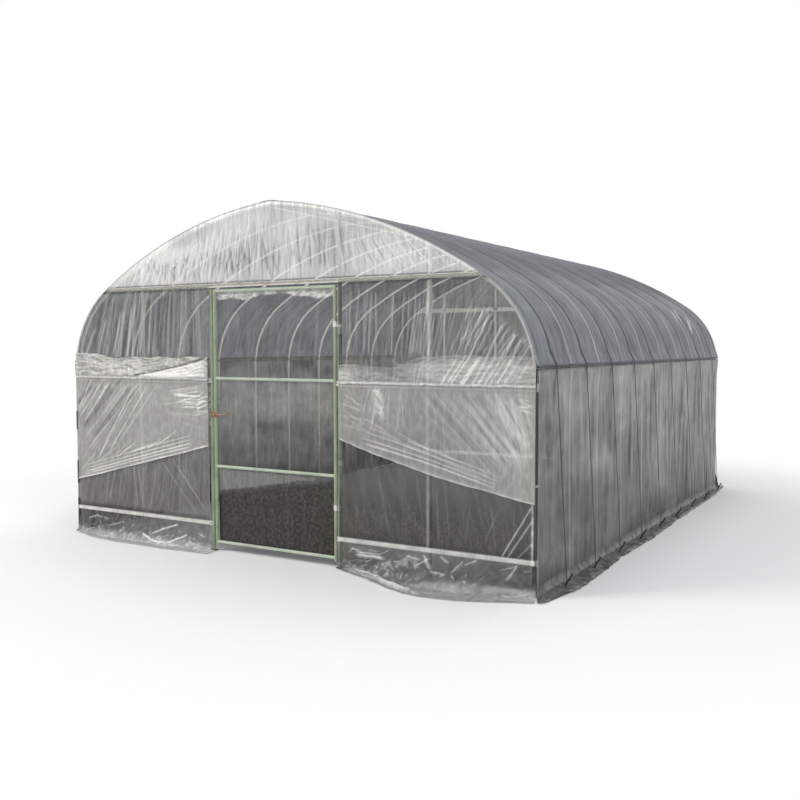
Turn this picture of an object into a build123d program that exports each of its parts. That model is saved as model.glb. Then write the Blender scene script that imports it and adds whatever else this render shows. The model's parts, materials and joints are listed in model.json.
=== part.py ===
from build123d import *
import math
import os

# Polytunnel greenhouse: ten bent pipe hoops on two straight sides, a framed end wall with a hinged
# door at the front, a plain framed end wall at the back, and a skin of clear film.
#
# Millimetres. +Z is up, +Y runs from the door end to the far end, and the origin is on the ground
# in the middle of the plan. Legs, pegs and film stand on z = 0, and nothing reaches below it.

# ---- overall sizes ----
WIDTH = 3600.0  # over the outside of the hoop legs
RIDGE_HEIGHT = 2280.0  # ground to the top of a hoop at the ridge
HOOP_COUNT = 10
HOOP_PITCH = 500.0
CLEAR = 0.3  # gap left between two pieces that bear on each other
SIDES = 8  # flats round the pipes and straps that repeat, which keeps the model light

# ---- hoops: two bent pipes that meet in a sleeve at the ridge ----
HOOP_D = 22.2
HOOP_WALL = 1.2
LEG_HEIGHT = 1190.0  # straight part of the leg
SHOULDER_R = 660.0  # bend radius of the centreline
SHOULDER_TURN = 56.0  # degrees from the upright leg to the roof curve
RIDGE_GAP = 4.0  # between the two pipe ends inside the sleeve
SLEEVE_WALL = 1.5
SLEEVE_REACH = 55.0  # how far the sleeve covers each pipe

# ---- ridge pipe under the hoops, with a strap at each one ----
RIDGE_PIPE_D = 19.1
RIDGE_PIPE_WALL = 1.1
RIDGE_PIPE_OVERHANG = 8.0
STRAP_THICKNESS = 1.5
STRAP_HEIGHT = 18.0

# ---- film-locking channel: a dovetail section with an open mouth ----
CHANNEL_BACK = 28.0
CHANNEL_FRONT = 24.0
CHANNEL_DEPTH = 13.0
CHANNEL_WALL = 1.0
CHANNEL_MOUTH = 13.0

# ---- heights of the channels ----
EAVE_Z = 1245.0
TOP_RAIL_Z = 1765.0
MID_RAIL_Z = 1140.0
BOTTOM_RAIL_Z = 185.0

# ---- end wall posts ----
DOOR_POST_D = 25.4
STUD_D = 22.2
POST_WALL = 1.2
DOOR_POST_X = 515.0
STUD_X = 1140.0
SHOE_THICKNESS = 4.0
SHOE_SIDE = 60.0

# ---- door ----
STILE_D = 22.2
DOOR_RAIL_D = 19.1
DOOR_WALL = 1.2
DOOR_SIDE_GAP = 10.2  # between a stile and its post
DOOR_BOTTOM = 40.0
DOOR_TOP_GAP = 11.0  # under the top rail
DOOR_RAIL_HEIGHTS = (62.0, 570.0, 1155.0)  # the fourth rail is at the door's head
HINGE_HEIGHTS = (375.0, 1500.0)
HINGE_LEAF_HEIGHT = 34.0
HINGE_PIN_D = 5.0
HINGE_KNUCKLE_D = 11.0
HINGE_PIN_INSIDE = 17.0  # of the post's centre, towards the door
HINGE_PIN_AHEAD = 22.0  # of the stile's centre
HINGE_STRAP = 2.0
HINGE_ARM = 3.0
PIN_CLEARANCE = 0.08
LATCH_Z = 917.0
LATCH_BAR_D = 9.0
LATCH_BAR_LENGTH = 150.0
LATCH_PLATE = (34.0, 3.0, 40.0)

# ---- film ----
FILM = 2.0
SKIRT = 6.0  # thickness of the crumpled skirt where it lies on the ground

# ---- bands over the roof, one in each bay, and the pegs that hold them ----
BAND_WIDTH = 14.0
BAND_THICKNESS = 1.5
PEG_D = 9.0
PEG_SIDES = 6
PEG_LENGTH = 95.0
PEG_LEAN = 60.0  # degrees from the ground
PEG_OUT = 66.0  # from the outside of the hoop legs
PEG_HEAD = (18.0, 18.0, 5.0)
BAND_TIE_Z = 30.0
BAND_RUNS = (5, 6)  # straight runs of a band round the shoulder and up to the ridge

# ---- places worked out from the sizes above ----
HOOP_R = HOOP_D / 2
SLEEVE_R = HOOP_R + CLEAR + SLEEVE_WALL
LEG_X = WIDTH / 2 - HOOP_R
PEG_X = WIDTH / 2 + PEG_OUT
LENGTH = HOOP_PITCH * (HOOP_COUNT - 1)
HALF_LENGTH = LENGTH / 2
HOOP_YS = [HOOP_PITCH * i - HALF_LENGTH for i in range(HOOP_COUNT)]
BAND_YS = [y + HOOP_PITCH / 2 for y in HOOP_YS[:-1]]
SHOULDER_CENTRE = (LEG_X - SHOULDER_R, LEG_HEIGHT)
FILM_INSIDE = SLEEVE_R + CLEAR  # from the hoop's centreline to the film
FILM_OUTSIDE = FILM_INSIDE + FILM
RAIL_BACK = HOOP_R + CLEAR  # from the hoop's centre to the back of a channel
RAIL_FRONT = RAIL_BACK + CHANNEL_DEPTH
END_FILM_BACK = RAIL_FRONT + CLEAR
END_FILM_FRONT = END_FILM_BACK + FILM
FILM_EDGE_X = DOOR_POST_X + 6  # the end film stops on the door post
SKIRT_END_X = LEG_X + FILM_INSIDE
DOOR_TOP = TOP_RAIL_Z - CHANNEL_BACK / 2 - DOOR_TOP_GAP
STILE_X = DOOR_POST_X - DOOR_POST_D / 2 - DOOR_SIDE_GAP - STILE_D / 2
STILE_Y = -HALF_LENGTH
LATCH_BACK = STILE_Y - STILE_D / 2 - CLEAR
KEEPER_BACK = -HALF_LENGTH - HOOP_R - CLEAR  # on the outer face of the door post
LATCH_BAR_Y = LATCH_BACK - LATCH_PLATE[1] - 1 - LATCH_BAR_D / 2
PIN_Y = STILE_Y - HINGE_PIN_AHEAD
HINGE_PIN_X = DOOR_POST_X - HINGE_PIN_INSIDE


def roof_arc():
    """Centre and radius of the long curve from the shoulder up to the ridge."""
    turn = math.radians(SHOULDER_TURN)
    out = Vector(math.cos(turn), math.sin(turn))
    start = Vector(*SHOULDER_CENTRE) + out * SHOULDER_R
    to_ridge = Vector(0, RIDGE_HEIGHT - HOOP_R) - start
    radius = to_ridge.length**2 / (-2 * to_ridge.dot(out))
    centre = start - out * radius
    return (centre.X, centre.Y), radius


ROOF_CENTRE, ROOF_R = roof_arc()


def roof_angle(x, offset):
    """Where the long curve, moved outwards by offset, stands at that x, in degrees."""
    return math.degrees(math.acos((x - ROOF_CENTRE[0]) / (ROOF_R + offset)))


def arch_x(z, offset):
    """Half width of the arch at a height, at offset outside the hoop's centreline."""
    if z <= LEG_HEIGHT:
        return LEG_X + offset
    turn = math.radians(SHOULDER_TURN)
    if z <= LEG_HEIGHT + (SHOULDER_R + offset) * math.sin(turn):
        rise = z - LEG_HEIGHT
        return SHOULDER_CENTRE[0] + math.sqrt((SHOULDER_R + offset) ** 2 - rise**2)
    rise = z - ROOF_CENTRE[1]
    return ROOF_CENTRE[0] + math.sqrt((ROOF_R + offset) ** 2 - rise**2)


def arch_z(x, offset):
    """Height of the arch at a distance from the middle, at offset outside the hoop's centreline."""
    low, high = LEG_HEIGHT, ROOF_CENTRE[1] + ROOF_R + offset
    for _ in range(60):
        middle = (low + high) / 2
        if arch_x(middle, offset) > abs(x):
            low = middle
        else:
            high = middle
    return low


def half_arch(offset, foot, ridge_x):
    """Right half of the arch in the XZ plane, from a height on the leg to near the ridge."""
    x = LEG_X + offset
    last = roof_angle(ridge_x, offset)
    curves = [
        CenterArc(SHOULDER_CENTRE, SHOULDER_R + offset, 0, SHOULDER_TURN),
        CenterArc(ROOF_CENTRE, ROOF_R + offset, SHOULDER_TURN, last - SHOULDER_TURN),
    ]
    if foot < LEG_HEIGHT:
        curves.insert(0, Line((x, foot), (x, LEG_HEIGHT)))
    return Curve() + curves


def upright(sketch, y):
    """A sketch drawn in x and z, stood up at that y."""
    return Pos(0, y, 0) * (Plane.XZ * sketch)


def mirrored(shape):
    """The shape's twin on the left side."""
    return mirror(shape, about=Plane.YZ)


def flats(radius, sides=SIDES):
    """A many-sided section with flats at that distance, one of them facing each way along the axes."""
    return RegularPolygon(radius, sides, major_radius=False, rotation=180 / sides)


def bar_along(path, radius):
    """A many-sided bar swept along a path in the XZ plane."""
    return sweep(Plane(path @ 0, x_dir=(0, 1, 0), z_dir=path % 0) * flats(radius), path=path)


def upright_tube(x, y, bottom, top, diameter, wall, section=Circle):
    ring = section(diameter / 2) - section(diameter / 2 - wall)
    return Pos(x, y, bottom) * extrude(ring, top - bottom)


def compound(solids):
    return Compound(children=list(solids))


# ---------------------------------------------------------------- hoops and ridge


def hoop():
    """One hoop at y = 0: two bent pipes with a sleeve over their joint. The bore is cut in the straight legs."""
    wire = Wire(upright(half_arch(0, 0, RIDGE_GAP / 2), 0).edges())
    bore = Pos(LEG_X, 0, 0) * extrude(flats(HOOP_R - HOOP_WALL), LEG_HEIGHT)
    right = bar_along(wire, HOOP_R) - bore
    return [right, mirrored(right), ridge_sleeve()]


def ridge_sleeve():
    """The short sleeve, with the slight point that the two curves make at the ridge."""
    start = roof_angle(SLEEVE_REACH, 0)
    past_ridge = roof_angle(-SLEEVE_R, 0)
    arc = upright(CenterArc(ROOF_CENTRE, ROOF_R, start, past_ridge - start), 0).edges()[0]
    whole = bar_along(arc, SLEEVE_R) - bar_along(arc, HOOP_R + CLEAR)
    right = split(whole, bisect_by=Plane.YZ, keep=Keep.TOP)
    return right + mirrored(right)


def ridge_pipe_z():
    """Height of the ridge pipe's centre, hung under the sleeves."""
    slope = math.radians(90 - roof_angle(0, 0))
    under = RIDGE_HEIGHT - HOOP_R - SLEEVE_R / math.cos(slope)
    return under - CLEAR - RIDGE_PIPE_D / 2


def ridge_pipe():
    length = LENGTH + 2 * RIDGE_PIPE_OVERHANG
    section = Circle(RIDGE_PIPE_D / 2) - Circle(RIDGE_PIPE_D / 2 - RIDGE_PIPE_WALL)
    return Pos(0, -length / 2, ridge_pipe_z()) * (Rot(-90, 0, 0) * extrude(section, length))


def stirrup(pipe_r, reach, height, thickness):
    """A strap bent round a pipe along Z, with both legs running to x = reach."""
    inner, outer = pipe_r + CLEAR, pipe_r + CLEAR + thickness
    leg = reach / 2
    bend = flats(outer) + Pos(leg, 0) * Rectangle(reach, 2 * outer)
    bend = bend - Pos(reach + outer, 0) * Rectangle(2 * outer, 4 * outer)
    hollow = flats(inner) + Pos(leg + thickness, 0) * Rectangle(reach + 2 * thickness, 2 * inner)
    return Pos(0, 0, -height / 2) * extrude(bend - hollow, height)


def ridge_clamp():
    """Strap under the ridge pipe at y = 0, its legs coped to the sleeve above."""
    reach = RIDGE_PIPE_D / 2 + SLEEVE_R
    legs_up = Rot(0, -90, 0) * Rot(90, 0, 0) * stirrup(RIDGE_PIPE_D / 2, reach, STRAP_HEIGHT, STRAP_THICKNESS)
    strap = Pos(0, 0, ridge_pipe_z()) * legs_up
    arc = upright(CenterArc(ROOF_CENTRE, ROOF_R, roof_angle(SLEEVE_REACH, 0), 3), 0).edges()[0]
    room = bar_along(arc, SLEEVE_R + CLEAR)
    return strap - room - mirrored(room)


# ---------------------------------------------------------------- channels


def channel_section():
    """Section of the film-locking channel: back on the x axis, mouth towards +y."""
    half_back, half_front = CHANNEL_BACK / 2, CHANNEL_FRONT / 2
    t, depth = CHANNEL_WALL, CHANNEL_DEPTH
    outline = [(-half_back, 0), (half_back, 0), (half_front, depth), (-half_front, depth)]
    hollow = [(-half_back + t, t), (half_back - t, t), (half_front - t, depth - t), (t - half_front, depth - t)]
    mouth = Pos(0, depth - t / 2) * Rectangle(CHANNEL_MOUTH, 2 * t)
    return Polygon(*outline, align=None) - Polygon(*hollow, align=None) - mouth


def eave_rail():
    """Right eave channel: it lies on the outside of the hoops with its mouth outwards."""
    length = 2 * (HALF_LENGTH + HOOP_R)
    back = arch_x(EAVE_Z - CHANNEL_BACK / 2, RAIL_BACK)
    plane = Plane((back, -length / 2, EAVE_Z), x_dir=(0, 0, 1), z_dir=(0, 1, 0))
    return extrude(plane * channel_section(), length)


def end_rail(x0, x1, z, end):
    """Channel across an end wall from x0 to x1; end is -1 at the front and 1 at the back."""
    plane = Plane((x0, end * (HALF_LENGTH + RAIL_BACK), z), x_dir=(0, 0, -end), z_dir=(1, 0, 0))
    return extrude(plane * channel_section(), x1 - x0)


def eave_clamps():
    """Straps round the hoops behind the eave channel, square to the pipe where it bends in."""
    turn = math.degrees(math.asin(max(0, EAVE_Z - LEG_HEIGHT) / SHOULDER_R))
    strap = Rot(0, -turn, 0) * stirrup(HOOP_R, HOOP_R, STRAP_HEIGHT, STRAP_THICKNESS)
    right = [Pos(arch_x(EAVE_Z, 0), y, EAVE_Z) * strap for y in HOOP_YS]
    return right + [mirrored(strap_right) for strap_right in right]


def end_clamps(end):
    """Straps that hold the end wall's channels to the legs, studs and door posts."""
    facing = Rot(0, 0, 90 * end)
    leg = facing * stirrup(HOOP_R, HOOP_R, STRAP_HEIGHT, STRAP_THICKNESS)
    stud = facing * stirrup(STUD_D / 2, STUD_D / 2, STRAP_HEIGHT, STRAP_THICKNESS)
    post = facing * stirrup(DOOR_POST_D / 2, DOOR_POST_D / 2, STRAP_HEIGHT, STRAP_THICKNESS)
    stud_y = post_centre_y(STUD_D, end)
    post_y = post_centre_y(DOOR_POST_D, end)
    clamps = []
    for side in (-1, 1):
        for z in (TOP_RAIL_Z, MID_RAIL_Z, BOTTOM_RAIL_Z):
            clamps.append(Pos(side * STUD_X, stud_y, z) * stud)
            clamps.append(Pos(side * DOOR_POST_X, post_y, z) * post)
        for z in (MID_RAIL_Z, BOTTOM_RAIL_Z):
            clamps.append(Pos(side * LEG_X, end * HALF_LENGTH, z) * leg)
    return clamps


# ---------------------------------------------------------------- end wall posts


def post_centre_y(diameter, end):
    """A post stands with its outer face flush with the hoop's."""
    return end * (HALF_LENGTH + HOOP_R - diameter / 2)


def end_post(x, diameter, end, shoe=False):
    """Upright from the ground to the hoop, coped to its underside."""
    y = post_centre_y(diameter, end)
    bottom = SHOE_THICKNESS + CLEAR if shoe else 0
    section = Circle if shoe else flats
    whole = upright_tube(x, y, bottom, RIDGE_HEIGHT, diameter, POST_WALL, section)
    above = half_arch(-HOOP_R - CLEAR, 0, 0)
    above = Curve() + [above, Line(above @ 1, (0, 2 * RIDGE_HEIGHT)), Line((0, 2 * RIDGE_HEIGHT), (WIDTH, 2 * RIDGE_HEIGHT))]
    above = above + [Line((WIDTH, 2 * RIDGE_HEIGHT), (WIDTH, 0)), Line((WIDTH, 0), (LEG_X - HOOP_R - CLEAR, 0))]
    outside = extrude(upright(make_face(above.edges()), -HALF_LENGTH - WIDTH), 2 * HALF_LENGTH + 2 * WIDTH, dir=(0, 1, 0))
    return whole - (outside if x > 0 else mirrored(outside))


def door_shoes():
    """Flat feet under the two door posts."""
    y = post_centre_y(DOOR_POST_D, -1)
    shoe = Pos(0, 0, SHOE_THICKNESS / 2) * Box(SHOE_SIDE, SHOE_SIDE / 2, SHOE_THICKNESS)
    return [Pos(side * DOOR_POST_X, y, 0) * shoe for side in (-1, 1)]


# ---------------------------------------------------------------- door


def door_stile(side):
    return upright_tube(side * STILE_X, STILE_Y, DOOR_BOTTOM, DOOR_TOP, STILE_D, DOOR_WALL)


def door_rails():
    """Cross rails, each coped to the round stiles at both ends."""
    section = flats(DOOR_RAIL_D / 2) - flats(DOOR_RAIL_D / 2 - DOOR_WALL)
    blank = Rot(0, 90, 0) * Pos(0, 0, -STILE_X) * extrude(section, 2 * STILE_X)
    seat = Pos(STILE_X, 0, 0) * Cylinder(STILE_D / 2 + CLEAR, 2 * DOOR_RAIL_D)
    rail = blank - seat - mirrored(seat)
    head = DOOR_TOP - DOOR_RAIL_D / 2
    return [Pos(0, STILE_Y, z) * rail for z in (*DOOR_RAIL_HEIGHTS, head)]


def door_film():
    """Film on the inside of the door frame, from stile to stile."""
    y = STILE_Y + STILE_D / 2 + 2 * CLEAR + HINGE_STRAP + FILM / 2
    height = DOOR_TOP - DOOR_BOTTOM
    return Pos(0, y, DOOR_BOTTOM + height / 2) * Box(2 * STILE_X, FILM, height)


def hinge_leaf(pipe_x, pipe_y, pipe_d, arm_low, arm_high):
    """A strap round a pipe with an arm to the knuckle on the hinge axis, between two heights."""
    ring = flats(pipe_d / 2 + CLEAR + HINGE_STRAP) - flats(pipe_d / 2 + CLEAR)
    strap = Pos(pipe_x, pipe_y, -HINGE_LEAF_HEIGHT / 2) * extrude(ring, HINGE_LEAF_HEIGHT)
    to_pin = Vector(HINGE_PIN_X - pipe_x, PIN_Y - pipe_y)
    direction = Rot(0, 0, math.degrees(math.atan2(to_pin.Y, to_pin.X)))
    inner = pipe_d / 2 + CLEAR + HINGE_STRAP / 2
    web = Pos((inner + to_pin.length) / 2, 0) * Rectangle(to_pin.length - inner, HINGE_ARM)
    arm = Pos(pipe_x, pipe_y, arm_low) * extrude(direction * web, arm_high - arm_low)
    knuckle = Pos(HINGE_PIN_X, PIN_Y, arm_low) * extrude(Circle(HINGE_KNUCKLE_D / 2), arm_high - arm_low)
    return strap + arm + knuckle


def hinge(z):
    """The fixed leaf with its pin and the leaf on the door, at one height."""
    half = HINGE_LEAF_HEIGHT / 2
    post_y = post_centre_y(DOOR_POST_D, -1)
    pin = Pos(HINGE_PIN_X, PIN_Y, -half) * extrude(Circle(HINGE_PIN_D / 2), 2 * half + 2 * CLEAR)
    fixed = hinge_leaf(DOOR_POST_X, post_y, DOOR_POST_D, -half, -CLEAR / 2) + pin
    bore = Pos(HINGE_PIN_X, PIN_Y, -half) * extrude(Circle(HINGE_PIN_D / 2 + PIN_CLEARANCE), 3 * half)
    moving = hinge_leaf(STILE_X, STILE_Y, STILE_D, CLEAR / 2, half) - bore
    return Pos(0, 0, z) * fixed, Pos(0, 0, z) * moving


def door_latch():
    """Slide bolt on the free stile: a plate with a round bar, drawn back from the post."""
    plate_x, plate_y, plate_z = LATCH_PLATE
    plate = Pos(-STILE_X, LATCH_BACK - plate_y / 2, LATCH_Z) * Box(plate_x, plate_y, plate_z)
    start = -STILE_X - 0.4 * plate_x
    bar = Rot(0, 90, 0) * extrude(Circle(LATCH_BAR_D / 2), LATCH_BAR_LENGTH)
    knob = Rot(90, 0, 0) * extrude(Circle(0.4 * LATCH_BAR_D), 1.6 * LATCH_BAR_D)
    bar = Pos(start, LATCH_BAR_Y, LATCH_Z) * (bar + Pos(LATCH_BAR_LENGTH - LATCH_BAR_D, 0, 0) * knob)
    saddle_y = LATCH_BAR_D + 3
    saddle = Pos(-STILE_X, LATCH_BACK - plate_y - saddle_y / 2, LATCH_Z)
    saddle = saddle * Box(plate_x / 2, saddle_y, 1.8 * LATCH_BAR_D)
    return plate + saddle + bar


def latch_keeper():
    """Eye on the door post that takes the bolt."""
    plate_x, plate_y, plate_z = LATCH_PLATE
    x = -DOOR_POST_X + plate_x / 5
    plate = Pos(x, KEEPER_BACK - plate_y / 2, LATCH_Z) * Box(plate_x / 2, plate_y, plate_z)
    eye = Circle(LATCH_BAR_D / 2 + 4) - Circle(LATCH_BAR_D / 2 + 1)
    eye = Pos(x - 3, LATCH_BAR_Y, LATCH_Z) * Rot(0, 90, 0) * extrude(eye, 6)
    return plate + eye


# ---------------------------------------------------------------- film


def arch_face(offset):
    """The whole arch as a filled face in the XZ plane, down to the ground."""
    right = half_arch(offset, 0, 0)
    half = make_face((right + [Polyline(right @ 1, (0, 0), right @ 0)]).edges())
    return half + mirrored(half)


def end_panel(y, cuts):
    """End wall film from y on, inside the edge of the roof film, cut off behind each plane."""
    panel = extrude(upright(arch_face(FILM_INSIDE - CLEAR), y), FILM, dir=(0, 1, 0))
    for plane in cuts:
        panel = split(panel, bisect_by=plane, keep=Keep.TOP)
    return panel


def roof_film():
    """One sheet over all the hoops, from eave channel to eave channel."""
    foot = EAVE_Z + CHANNEL_BACK / 2 + CLEAR
    length = 2 * (HALF_LENGTH + END_FILM_FRONT)
    section = arch_face(FILM_OUTSIDE) - arch_face(FILM_INSIDE)
    arch = extrude(upright(section, -length / 2), length, dir=(0, 1, 0))
    return split(arch, bisect_by=Plane((0, 0, foot)), keep=Keep.TOP)


def ground_sheet(points, straight):
    """A skirt on the ground: a wavy outer edge through points, closed along straight ones."""
    edge = Spline(*points)
    closing = Polyline(points[-1], *straight, points[0])
    return extrude(make_face((Curve() + [edge, closing]).edges()), SKIRT)


def side_skirt_points():
    """Outer edge of the right skirt, from the front corner to the back one."""
    y = HALF_LENGTH
    out = [(0, -y - 140), (70, -y - 90), (146, -y + 200), (140, -y + 690), (118, -y + 1200)]
    out += [(126, -y + 1840), (110, -y + 2600), (104, y - 1100), (96, y - 400), (60, y + 90), (0, y + 140)]
    return [(SKIRT_END_X + reach, along) for reach, along in out]


def side_film():
    """Right side: hung from the eave channel, with its skirt turned out on the ground."""
    top = EAVE_Z - CHANNEL_BACK / 2 - CLEAR
    length = 2 * (HALF_LENGTH + END_FILM_FRONT)
    hang = Pos(SKIRT_END_X + FILM / 2, 0, top / 2) * Box(FILM, length, top)
    return hang + ground_sheet(side_skirt_points(), [])


def end_skirt(side):
    """Front skirt on one side of the door, from the post to the corner."""
    corner = SKIRT_END_X - CLEAR
    near = DOOR_POST_X + DOOR_POST_D / 2
    if side > 0:
        out = [(near, 45), (760, 140), (1000, 275), (1240, 338), (1480, 305), (corner, 140)]
    else:
        out = [(near, 135), (900, 158), (1330, 163), (corner, 140)]
    points = [(side * x, -HALF_LENGTH - reach) for x, reach in out]
    back = -HALF_LENGTH - END_FILM_BACK
    return ground_sheet(points, [(side * corner, back), (side * near, back)])


def front_film(side):
    """End wall film beside the door, from the top channel to the ground, with its skirt."""
    beside_post = Plane((side * FILM_EDGE_X, 0, 0), z_dir=(side, 0, 0))
    under_rail = Plane((0, 0, TOP_RAIL_Z - CLEAR / 2), z_dir=(0, 0, -1))
    return end_panel(-HALF_LENGTH - END_FILM_FRONT, [beside_post, under_rail]) + end_skirt(side)


def front_gable_film():
    """End wall film above the top channel."""
    above_rail = Plane((0, 0, TOP_RAIL_Z + CLEAR / 2), z_dir=(0, 0, 1))
    return end_panel(-HALF_LENGTH - END_FILM_FRONT, [above_rail])


def back_film():
    """Whole film of the far end wall, with the front's two skirts turned round and joined."""
    skirts = Rot(0, 0, 180) * (end_skirt(1) + end_skirt(-1))
    near = DOOR_POST_X + DOOR_POST_D / 2
    back = HALF_LENGTH + END_FILM_BACK
    points = [(-near, HALF_LENGTH + 45), (0, HALF_LENGTH + 115), (near, HALF_LENGTH + 135)]
    middle = ground_sheet(points, [(near, back), (-near, back)])
    return end_panel(back, []) + skirts + middle


# ---------------------------------------------------------------- bands and pegs


def peg():
    """Right peg at y = 0: a rod that leans away from the wall, with a flat head."""
    rod = extrude(flats(PEG_D / 2, PEG_SIDES), PEG_LENGTH)
    head = Pos(0, 0, PEG_LENGTH) * Box(*PEG_HEAD)
    leaning = Pos(PEG_X, 0, 0) * Rot(0, 90 - PEG_LEAN, 0) * (rod + head)
    ground = Pos(PEG_X, 0, (SKIRT + CLEAR) / 2 - WIDTH / 2) * Box(WIDTH, WIDTH, WIDTH + SKIRT + CLEAR)
    return leaning - ground


def runs_over(centre, radius, start, end, count):
    """Corners of the straight runs that lie over an arc and touch it halfway along each of them."""
    half = (end - start) / count / 2
    reach = radius / math.cos(math.radians(half))
    turns = [math.radians(start + half * (2 * i + 1)) for i in range(count)]
    return [(centre[0] + reach * math.cos(turn), centre[1] + reach * math.sin(turn)) for turn in turns]


def band_path():
    """Centreline of the right half of a band, from its peg over the eave to the ridge."""
    offset = FILM_OUTSIDE + CLEAR + BAND_THICKNESS / 2
    tie = Vector(PEG_X + BAND_TIE_Z / math.tan(math.radians(PEG_LEAN)), BAND_TIE_Z)
    clear_x = LEG_X + RAIL_FRONT + CLEAR + BAND_THICKNESS
    low, high = EAVE_Z - CHANNEL_BACK / 2, EAVE_Z + CHANNEL_BACK / 2
    up = (Vector(clear_x, low) - tie).normalized()
    between = math.atan2(up.Y, up.X) - math.radians(PEG_LEAN)
    foot = tie + up * ((PEG_D / 2 + CLEAR + BAND_THICKNESS) / math.sin(between))
    radius = SHOULDER_R + offset
    from_centre = Vector(clear_x - SHOULDER_CENTRE[0], high - SHOULDER_CENTRE[1])
    rise = math.degrees(math.atan2(from_centre.Y, from_centre.X))
    touch = rise + math.degrees(math.acos(radius / from_centre.length))
    shoulder = runs_over(SHOULDER_CENTRE, radius, touch, SHOULDER_TURN, BAND_RUNS[0])
    roof = runs_over(ROOF_CENTRE, ROOF_R + offset, SHOULDER_TURN, roof_angle(0, offset), BAND_RUNS[1])
    ridge = (0, arch_z(0, offset))
    return Polyline((foot.X, foot.Y), (clear_x, low), (clear_x, high), *shoulder, *roof, ridge)


def band():
    """One flat band at y = 0, from the right peg over the roof to the left one."""
    half = trace(band_path(), BAND_THICKNESS) - Pos(-WIDTH, 0) * Rectangle(2 * WIDTH, 4 * WIDTH)
    strip = extrude(upright(half, -BAND_WIDTH / 2), BAND_WIDTH, dir=(0, 1, 0))
    return strip + mirrored(strip)


# ---------------------------------------------------------------- every node


def build():
    nodes = {}
    one_hoop = hoop()
    for i, y in enumerate(HOOP_YS, 1):
        nodes[f"hoop_{i:02d}"] = [Pos(0, y, 0) * piece for piece in one_hoop]
    nodes["ridge_pipe"] = [ridge_pipe()]
    clamp = ridge_clamp()
    nodes["ridge_clamps"] = [Pos(0, y, 0) * clamp for y in HOOP_YS]

    nodes["eave_rail_right"] = [eave_rail()]
    nodes["eave_rail_left"] = [mirrored(eave_rail())]
    nodes["eave_clamps"] = eave_clamps()

    top_reach = arch_x(TOP_RAIL_Z + CHANNEL_BACK / 2, HOOP_R)
    low_reach = WIDTH / 2
    nodes["front_top_rail"] = [end_rail(-top_reach, top_reach, TOP_RAIL_Z, -1)]
    for name, z in (("mid", MID_RAIL_Z), ("bottom", BOTTOM_RAIL_Z)):
        door_side = DOOR_POST_X - DOOR_POST_D / 2
        sides = ((-low_reach, -door_side), (door_side, low_reach))
        nodes[f"front_{name}_rails"] = [end_rail(x0, x1, z, -1) for x0, x1 in sides]
        nodes[f"back_{name}_rail"] = [end_rail(-low_reach, low_reach, z, 1)]
    nodes["back_top_rail"] = [end_rail(-top_reach, top_reach, TOP_RAIL_Z, 1)]

    for name, side in (("left", -1), ("right", 1)):
        nodes[f"front_door_post_{name}"] = [end_post(side * DOOR_POST_X, DOOR_POST_D, -1, shoe=True)]
        nodes[f"front_film_{name}"] = [front_film(side)]
    nodes["door_post_shoes"] = door_shoes()
    nodes["front_studs"] = [end_post(side * STUD_X, STUD_D, -1) for side in (-1, 1)]
    back_xs = [(x, d) for x, d in ((STUD_X, STUD_D), (DOOR_POST_X, DOOR_POST_D))]
    nodes["back_studs"] = [end_post(side * x, d, 1) for x, d in back_xs for side in (-1, 1)]
    nodes["front_clamps"] = end_clamps(-1)
    nodes["back_clamps"] = end_clamps(1)

    nodes["roof_film"] = [roof_film()]
    nodes["side_film_right"] = [side_film()]
    nodes["side_film_left"] = [mirrored(side_film())]
    nodes["front_gable_film"] = [front_gable_film()]
    nodes["back_film"] = [back_film()]

    one_band, one_peg = band(), peg()
    nodes["roof_bands"] = [Pos(0, y, 0) * one_band for y in BAND_YS]
    right_pegs = [Pos(0, y, 0) * one_peg for y in BAND_YS]
    nodes["band_pegs"] = right_pegs + [mirrored(p) for p in right_pegs]

    hinges = [hinge(z) for z in HINGE_HEIGHTS]
    nodes["hinge_leaves_post"] = [fixed for fixed, _ in hinges]
    nodes["latch_keeper"] = [latch_keeper()]
    nodes["hinge_leaves_door"] = [moving for _, moving in hinges]
    nodes["door_stile_hinge"] = [door_stile(1)]
    nodes["door_stile_latch"] = [door_stile(-1)]
    nodes["door_rails"] = door_rails()
    nodes["door_film"] = [door_film()]
    nodes["door_latch"] = [door_latch()]
    return nodes


os.makedirs("parts", exist_ok=True)
for name, pieces in build().items():
    solids = [solid for piece in pieces for solid in piece.solids()]
    export_step(compound(solids), f"parts/{name}.step")
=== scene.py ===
import json
import math

import bpy
import numpy as np
from mathutils import Matrix, Vector


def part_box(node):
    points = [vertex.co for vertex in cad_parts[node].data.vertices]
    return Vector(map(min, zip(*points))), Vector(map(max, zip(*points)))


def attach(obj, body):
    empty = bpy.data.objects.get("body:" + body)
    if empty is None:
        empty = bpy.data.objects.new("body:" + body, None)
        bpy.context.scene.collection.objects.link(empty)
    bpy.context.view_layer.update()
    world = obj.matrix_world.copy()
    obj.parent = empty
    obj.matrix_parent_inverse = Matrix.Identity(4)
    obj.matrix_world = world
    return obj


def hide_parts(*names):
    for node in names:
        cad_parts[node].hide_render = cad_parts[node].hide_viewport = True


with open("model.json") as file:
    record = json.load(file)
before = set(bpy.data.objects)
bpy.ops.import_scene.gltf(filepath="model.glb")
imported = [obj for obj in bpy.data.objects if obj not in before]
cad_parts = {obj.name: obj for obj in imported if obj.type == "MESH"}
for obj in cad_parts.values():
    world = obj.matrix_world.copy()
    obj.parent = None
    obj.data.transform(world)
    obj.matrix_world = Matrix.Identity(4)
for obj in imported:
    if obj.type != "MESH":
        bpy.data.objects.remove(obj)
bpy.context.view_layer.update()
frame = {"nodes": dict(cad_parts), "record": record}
rng = np.random.default_rng(11)

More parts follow.
